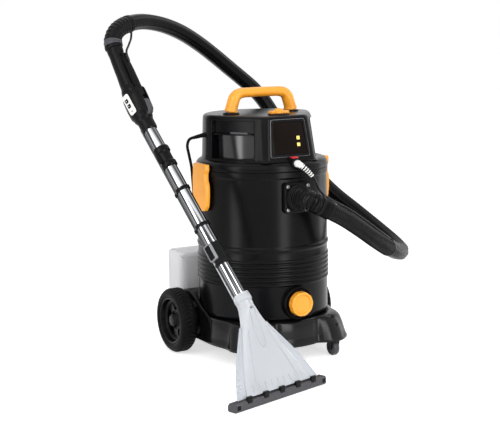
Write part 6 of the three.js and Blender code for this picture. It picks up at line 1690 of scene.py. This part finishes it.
# %% Nozzle ribs
def on_fan(share, t, lift=0.4):
    """A point on the front face of the nozzle."""
    values = min(FAN, key=lambda row: abs(row[0] - t))
    for low, high in zip(FAN, FAN[1:]):
        if low[0] <= t <= high[0]:
            values = low.lerp(high, (t - low[0]) / max(high[0] - low[0], 1e-6))
    middle, flat = fan_place(t)
    a, b, power = values[1] * plenum_share(t), values[2], fan_power(t)
    c = min(0.999, abs(share)) ** (1 / power)
    y = (math.sin(math.acos(c))) ** power * b
    return middle + Vector((share * a, 0, 0)) - flat * (y + lift)


def bead(points, radius=1.3):
    """A thin bar through points."""
    return swept(spaced(curve_through(points, 8), 2.0), radius, 12)


beads = [bead([on_fan(0.62 * s * (1 + 0.1 * (1 - t)), t) for t in (0.04, 0.2, 0.36, 0.52, 0.66)])
         for s in (-1, 1)]
HALF_LOOP = [(0.30, 0.86), (0.26, 0.72), (0.2, 0.58), (0.12, 0.48)]
loop = [on_fan(-share, t) for share, t in HALF_LOOP] + [on_fan(0, 0.455)]
loop += [on_fan(share, t) for share, t in reversed(HALF_LOOP)]
beads.append(bead(loop, 1.6))
for k in range(9):
    beads.append(bead([on_fan(-0.8 + 0.2 * k, t) for t in (0.03, 0.07, 0.11)], 1.1))
piece("nozzle_ribs_look", joined(*beads), "telescope", FROSTED, place=WAND, crease=60)
NECK_RING = rounded([(20.6, -6), (22.6, -6), (23, -4), (23, 7), (22.4, 9), (20.4, 9)], 0.8)
neck_ring = moved(turned(NECK_RING, 72, closed=True), NECK_STAND)
piece("nozzle_neck_ring_look", neck_ring, "telescope", FROSTED, place=WAND)
print(len(beads), "ribs on the nozzle")

# %% [markdown]
# The bar at the bottom is what slides over the carpet. Its section has a rounded runner
# and a sloped back; the five lugs in front hold the clear body.

# %% Nozzle bar
BAR_SECTION = rounded([(0, -15, 3), (0, -12, 0), (0, 12, 0), (0, 15, 3), (0, 15, 14), (0, 10, 22),
                       (0, -13, 22), (0, -15, 16)], 2.0, closed=True, steps=4)


def bar_ring(x, scale):
    middle = Vector((0, 0, 11))
    return [Vector((x, 0, 0)) + middle + (p - middle) * scale for p in BAR_SECTION]


bar_rings = [bar_ring(x, s) for x, s in (
    (-166, 0.9), (-165.3, 0.96), (-164, 1), (164, 1), (165.3, 0.96), (166, 0.9))]
bar = part("nozzle_bar", skinned(bar_rings), "telescope", GREY, place=WAND, crease=40)
throat = skinned([[Vector((p.x, p.y + 1, z)) for p in box_outline(283, 9, 3)] for z in (-20, 15)])
ends = [block((s * 150, s * 162), (-16, -12.4), (6, 17), 0.8) for s in (-1, 1)]
cut_by(bar, tool(throat, WAND), *[tool(shape, WAND) for shape in ends])
lugs = []
for k in range(5):
    x = (k - 2) * 58.4
    lug_rings = [[Vector((x + p.x * s, -12 + p.y, z)) for p in box_outline(18, 6.4, 1.6)] for z, s in (
        (15.8, 1), (30.4, 1), (32, 0.86))]
    lugs.append(skinned(lug_rings))
piece("nozzle_lugs_look", joined(*lugs), "telescope", SATIN_BLACK, place=WAND, crease=40)
for label, sign in SIDES:
    inset = block((sign * 151, sign * 161), (-14.6, -12.8), (7, 16), 0.6)
    piece("bar_end_" + label + "_look", inset, "telescope", BLACK, place=WAND, bevel=0.4)
print("bar 332 mm wide")

# %% [markdown]
# ## Mains lead
# The lead leaves the head through a tapered sleeve, runs down behind the latch, over
# the tank and to the floor, where the rest of its five metres lies in a flat coil
# behind the machine. A swept round bar is enough, because the shape is in the route.

# %% Strain relief
BOOT_FROM, BOOT_TO = Vector((-147, 20, 618)), Vector((-187, 46, 606))
boot_ahead = (BOOT_TO - BOOT_FROM).normalized()
boot_length = (BOOT_TO - BOOT_FROM).length
boot_path = [BOOT_FROM + boot_ahead * (boot_length * k / 120) for k in range(121)]
boot_stations = [(0, 8), (8.4, 8), (9.2, 7.4), (10, 6.6)]
for k in range(7):
    at = 12 + 4.8 * k
    width = 7 - 0.26 * k
    boot_stations += [(at, width), (at + 2.6, width - 0.1), (at + 3.2, width - 1.1), (at + 4.6, width - 1.2)]
boot_stations += [(boot_length - 1.2, 5.1), (boot_length, 4.5)]
part("cord_boot", swept(boot_path, stepped(boot_stations), 32), "head", RUBBER, crease=35)
print("strain relief %.0f mm" % boot_length)

# %% Route of the lead
LEAD_POINTS = [
    (-197, 53, 600), (-200, 58, 584), (-195, 59, 558), (-185, 66, 525), (-177, 76, 485), (-168, 88, 445),
    (-152, 112, 400), (-128, 140, 360), (-98, 170, 322), (-66, 203, 288), (-35, 232, 267), (8, 256, 264.6),
    (28, 268, 266.5), (44, 282, 268), (56, 296, 262), (62, 306, 246), (63, 311, 225), (62, 312, 190),
    (60, 312, 150), (58, 313, 105), (57, 322, 58), (57.5, 341, 24), (57.8, 366, 8.5), (57.8, 392, 4.8),
]


COIL_X, COIL_Y, COIL_RADIUS = 120, 434, 48


def coil_points():
    """Flat spirals in layers, in and out by turns, then a tail to the plug."""
    points, pitch, per_turn, turns, layers = [], 9.45, 12, 3, 4
    swing, floor_z, angle = turns * pitch / 2, 4.4, math.pi
    inner, outer = COIL_RADIUS - swing, COIL_RADIUS + swing

    def place(radius, z):
        points.append(Vector((COIL_X + radius * math.cos(angle), COIL_Y + radius * math.sin(angle), z)))

    for layer in range(layers):
        inward, z = layer % 2 == 0, floor_z + layer * pitch
        for k in range(turns * per_turn):
            t = k / (turns * per_turn)
            place(outer - 2 * swing * t if inward else inner + 2 * swing * t, z)
            angle -= 2 * math.pi / per_turn
        if layer == layers - 1:
            break
        for k in range(per_turn // 2):
            place(inner if inward else outer, z + pitch * k / (per_turn // 2))
            angle -= 2 * math.pi / per_turn
    place(outer, floor_z + (layers - 1) * pitch)
    heading, last = angle - math.pi / 2, points[-1]
    side = heading + math.pi / 2
    for along, aside, drop in ((20, 0, -0.4), (38, 2, -4), (58, 6, -14), (78, 10, -24),
                               (98, 14, floor_z - last.z + 0.5), (118, 18, floor_z - last.z)):
        points.append(Vector((last.x + along * math.cos(heading) + aside * math.cos(side),
                              last.y + along * math.sin(heading) + aside * math.sin(side), last.z + drop)))
    return [points[0] + Vector((0, -14, 0))] + points


coil = coil_points()
lead_points = [BOOT_TO + boot_ahead * 0.3, BOOT_TO + boot_ahead * 5] + LEAD_POINTS + coil
lead_path = spaced(curve_through(lead_points, 10), 3.0)
print("lead %.0f mm long" % length_of(lead_path))

# %% [markdown]
# The plug is a rounded block on its side. Its own frame starts at the end of the lead
# and looks the way the lead points.

# %% Plug and lead
lead_end, lead_ahead = lead_path[-1], (lead_path[-1] - lead_path[-2])
plug_frame = shift(*lead_end) @ Matrix.Rotation(math.atan2(lead_ahead.y, lead_ahead.x), 4, "Z")


def plug_ring(x, half, rise):
    """The plug's section at a distance from the lead's end, resting on the floor."""
    outline = rounded([(0, -half, 0.3), (0, half, 0.3), (0, half, 2 * rise), (0, -half, 2 * rise)],
                      min(6, half * 0.4), closed=True, steps=5)
    return [Vector((x, p.y, p.z - lead_end.z)) for p in outline]


plug_body = skinned([plug_ring(*row) for row in (
    (22, 8, 6), (23, 11, 8), (30, 18, 11.4), (40, 21.6, 13.6), (50, 24, 16), (60, 24, 16), (61.6, 23.4, 15.7),
    (62, 22.4, 15.2))])
tail_path = [Vector((1 + 23 * k / 46, 0, 0.1 + 3.1 * k / 46)) for k in range(47)]
tail_stations = [(0, 4.2)]
for k in range(5):
    at = 2 + 4.2 * k
    tail_stations += [(at, 4.6 + 0.5 * k), (at + 2.4, 4.9 + 0.5 * k), (at + 3, 4.2 + 0.5 * k),
                      (at + 4, 4.2 + 0.5 * k)]
tail_stations += [(23.2, 7)]
plug_tail = swept(tail_path, stepped(tail_stations), 24)
plug = part("mains_plug", joined(plug_body, plug_tail), "chassis", RUBBER, place=MACHINE @ plug_frame,
            crease=40)
blades = []
for y, z in ((-11, 10), (11, 10), (0, 22)):
    blades.append(skinned([[Vector((x, y + p.x, z + p.y - lead_end.z)) for p in box_outline(w, h, 0.8)]
                           for x, w, h in ((60, 6, 3.6), (77.4, 6, 3.6), (79, 4.6, 2.4))]))
pins = piece("mains_pins_look", joined(*blades), "chassis", STEEL, place=MACHINE @ plug_frame)
lead = piece("mains_lead_look", swept(lead_path, 4.0, 14), None, RUBBER, instead=("mains_lead", "mains_coil"),
             crease=80)
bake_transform(lead)
in_metres(lead_path, 8)
print("lead and plug on the floor")

# %% [markdown]
# ## Inside the head
# The motor, the pump, the float in its cage, the filter and the seal keep their
# measured solids. They get their own materials and softened edges.

# %% Inner parts
INSIDE = {"motor": STEEL, "water_pump": GREY, "float_cage": GREY, "filter_sleeve": FOAM, "drum_seal": RUBBER,
          "float_ball": WHITE}
for name, material in INSIDE.items():
    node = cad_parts[name]
    node.data.materials.clear()
    node.data.materials.append(material)
    if name != "float_ball":
        rounding = node.modifiers.new("rounding", "BEVEL")
        rounding.width, rounding.segments, rounding.limit_method = 0.0006, 2, "ANGLE"
print("nodes shown as they are:", sorted(n for n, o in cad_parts.items() if not o.hide_render))

# %% [markdown]
# ## Floor, light and background
# A pale floor and a white surround. The surround is only white to the camera, to
# reflections and through clear plastic; the light that falls on the machine stays soft
# and plain.

# %% Floor
def seen_rays(nodes, links, *kinds):
    """1 for rays of these kinds, 0 for the others."""
    path = nodes.new("ShaderNodeLightPath")
    value = path.outputs[kinds[0]]
    for kind in kinds[1:]:
        value = maths(nodes, links, "MAXIMUM", value, path.outputs[kind])
    return value


FLOOR_HALF, FLOOR_Z = 30, -0.0004
floor_mesh = bpy.data.meshes.new("floor")
floor_mesh.from_pydata([(x * FLOOR_HALF, y * FLOOR_HALF, FLOOR_Z)
                        for x, y in ((-1, -1), (1, -1), (1, 1), (-1, 1))],
                       [], [(0, 1, 2, 3)])
floor = bpy.data.objects.new("floor", floor_mesh)
bpy.context.scene.collection.objects.link(floor)
floor_look = bpy.data.materials.new("floor_white")
floor_look.use_nodes = True
nodes, links = floor_look.node_tree.nodes, floor_look.node_tree.links
shader = nodes["Principled BSDF"]
fill(shader, {"Roughness": 0.9, "Specular IOR Level": 0.0, "Emission Color": (1, 1, 1, 1)})
speckle = nodes.new("ShaderNodeTexNoise")
fill(speckle, {"Scale": 3.0})
tint = nodes.new("ShaderNodeMix")
tint.data_type = "RGBA"
fill(tint, {"A": (0.88, 0.88, 0.88, 1), "B": (0.92, 0.92, 0.92, 1)})
links.new(speckle.outputs["Fac"], tint.inputs["Factor"])
links.new(tint.outputs["Result"], shader.inputs["Base Color"])
FLOOR_LIFT = 0.62
floor_seen = seen_rays(nodes, links, "Is Camera Ray", "Is Glossy Ray", "Is Transmission Ray")
links.new(maths(nodes, links, "MULTIPLY", floor_seen, FLOOR_LIFT), shader.inputs["Emission Strength"])
floor.data.materials.append(floor_look)
floor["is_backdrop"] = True
print("floor 60 m wide")

# %% [markdown]
# Three broad lamps light the machine, and three tall narrow ones stand close to the drum
# and reach down to the floor: a round black wall mirrors each as one upright band.

# %% Lamps and world
def lamp(label, wide, tall, power, place, aim):
    """A rectangular lamp that the camera does not see."""
    light = bpy.data.lights.new(label, "AREA")
    light.shape = "RECTANGLE"
    light.size, light.size_y, light.energy = wide, tall, power
    holder = bpy.data.objects.new(label, light)
    bpy.context.scene.collection.objects.link(holder)
    holder.location = place
    holder.rotation_euler = (Vector(aim) - Vector(place)).to_track_quat("-Z", "Y").to_euler()
    holder.visible_camera = False


def beside_drum(degrees, distance, height):
    """A place round the drum's axis."""
    spot = polar(degrees, distance)
    return (AXIS[0] + spot.x, AXIS[1] + spot.y, height)


lamp("key", 2.4, 2.4, 17, (-1.9, -2.2, 2.6), (0, 0, 0.4))
lamp("fill", 3.0, 3.0, 7, (2.4, -1.6, 1.8), (0, 0, 0.4))
lamp("top", 2.6, 2.6, 17, (0.2, 0.6, 3.0), (0, 0, 0.3))
for label, degrees, wide, distance, power in (
    ("band_left", -165, 0.34, 1.35, 10), ("band_right", -84, 0.36, 1.45, 15), ("band_edge", 2, 0.3, 1.5, 3)):
    lamp(label, wide, 1.9, power, beside_drum(degrees, distance, 0.95), beside_drum(degrees, 0, 0.95))
world = bpy.data.worlds.new("studio")
bpy.context.scene.world = world
world.use_nodes = True
nodes, links = world.node_tree.nodes, world.node_tree.links
background = nodes["Background"]
fill(background, {"Color": (1, 1, 1, 1)})
WORLD_LIGHT = 0.45
seen = seen_rays(nodes, links, "Is Camera Ray", "Is Glossy Ray", "Is Transmission Ray")
links.new(maths(nodes, links, "ADD", maths(nodes, links, "MULTIPLY", seen, 1 - WORLD_LIGHT), WORLD_LIGHT),
          background.inputs["Strength"])
print("six lamps")

# %% [markdown]
# ## Sizes
# The measured frame and the dressed model should take the same room. The dressed
# model's box is printed.

# %% Write sizes and finish
bpy.context.scene.view_settings.view_transform = "Standard"
low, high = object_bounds()
print("visual box", [round(v, 3) for v in low], [round(v, 3) for v in high])
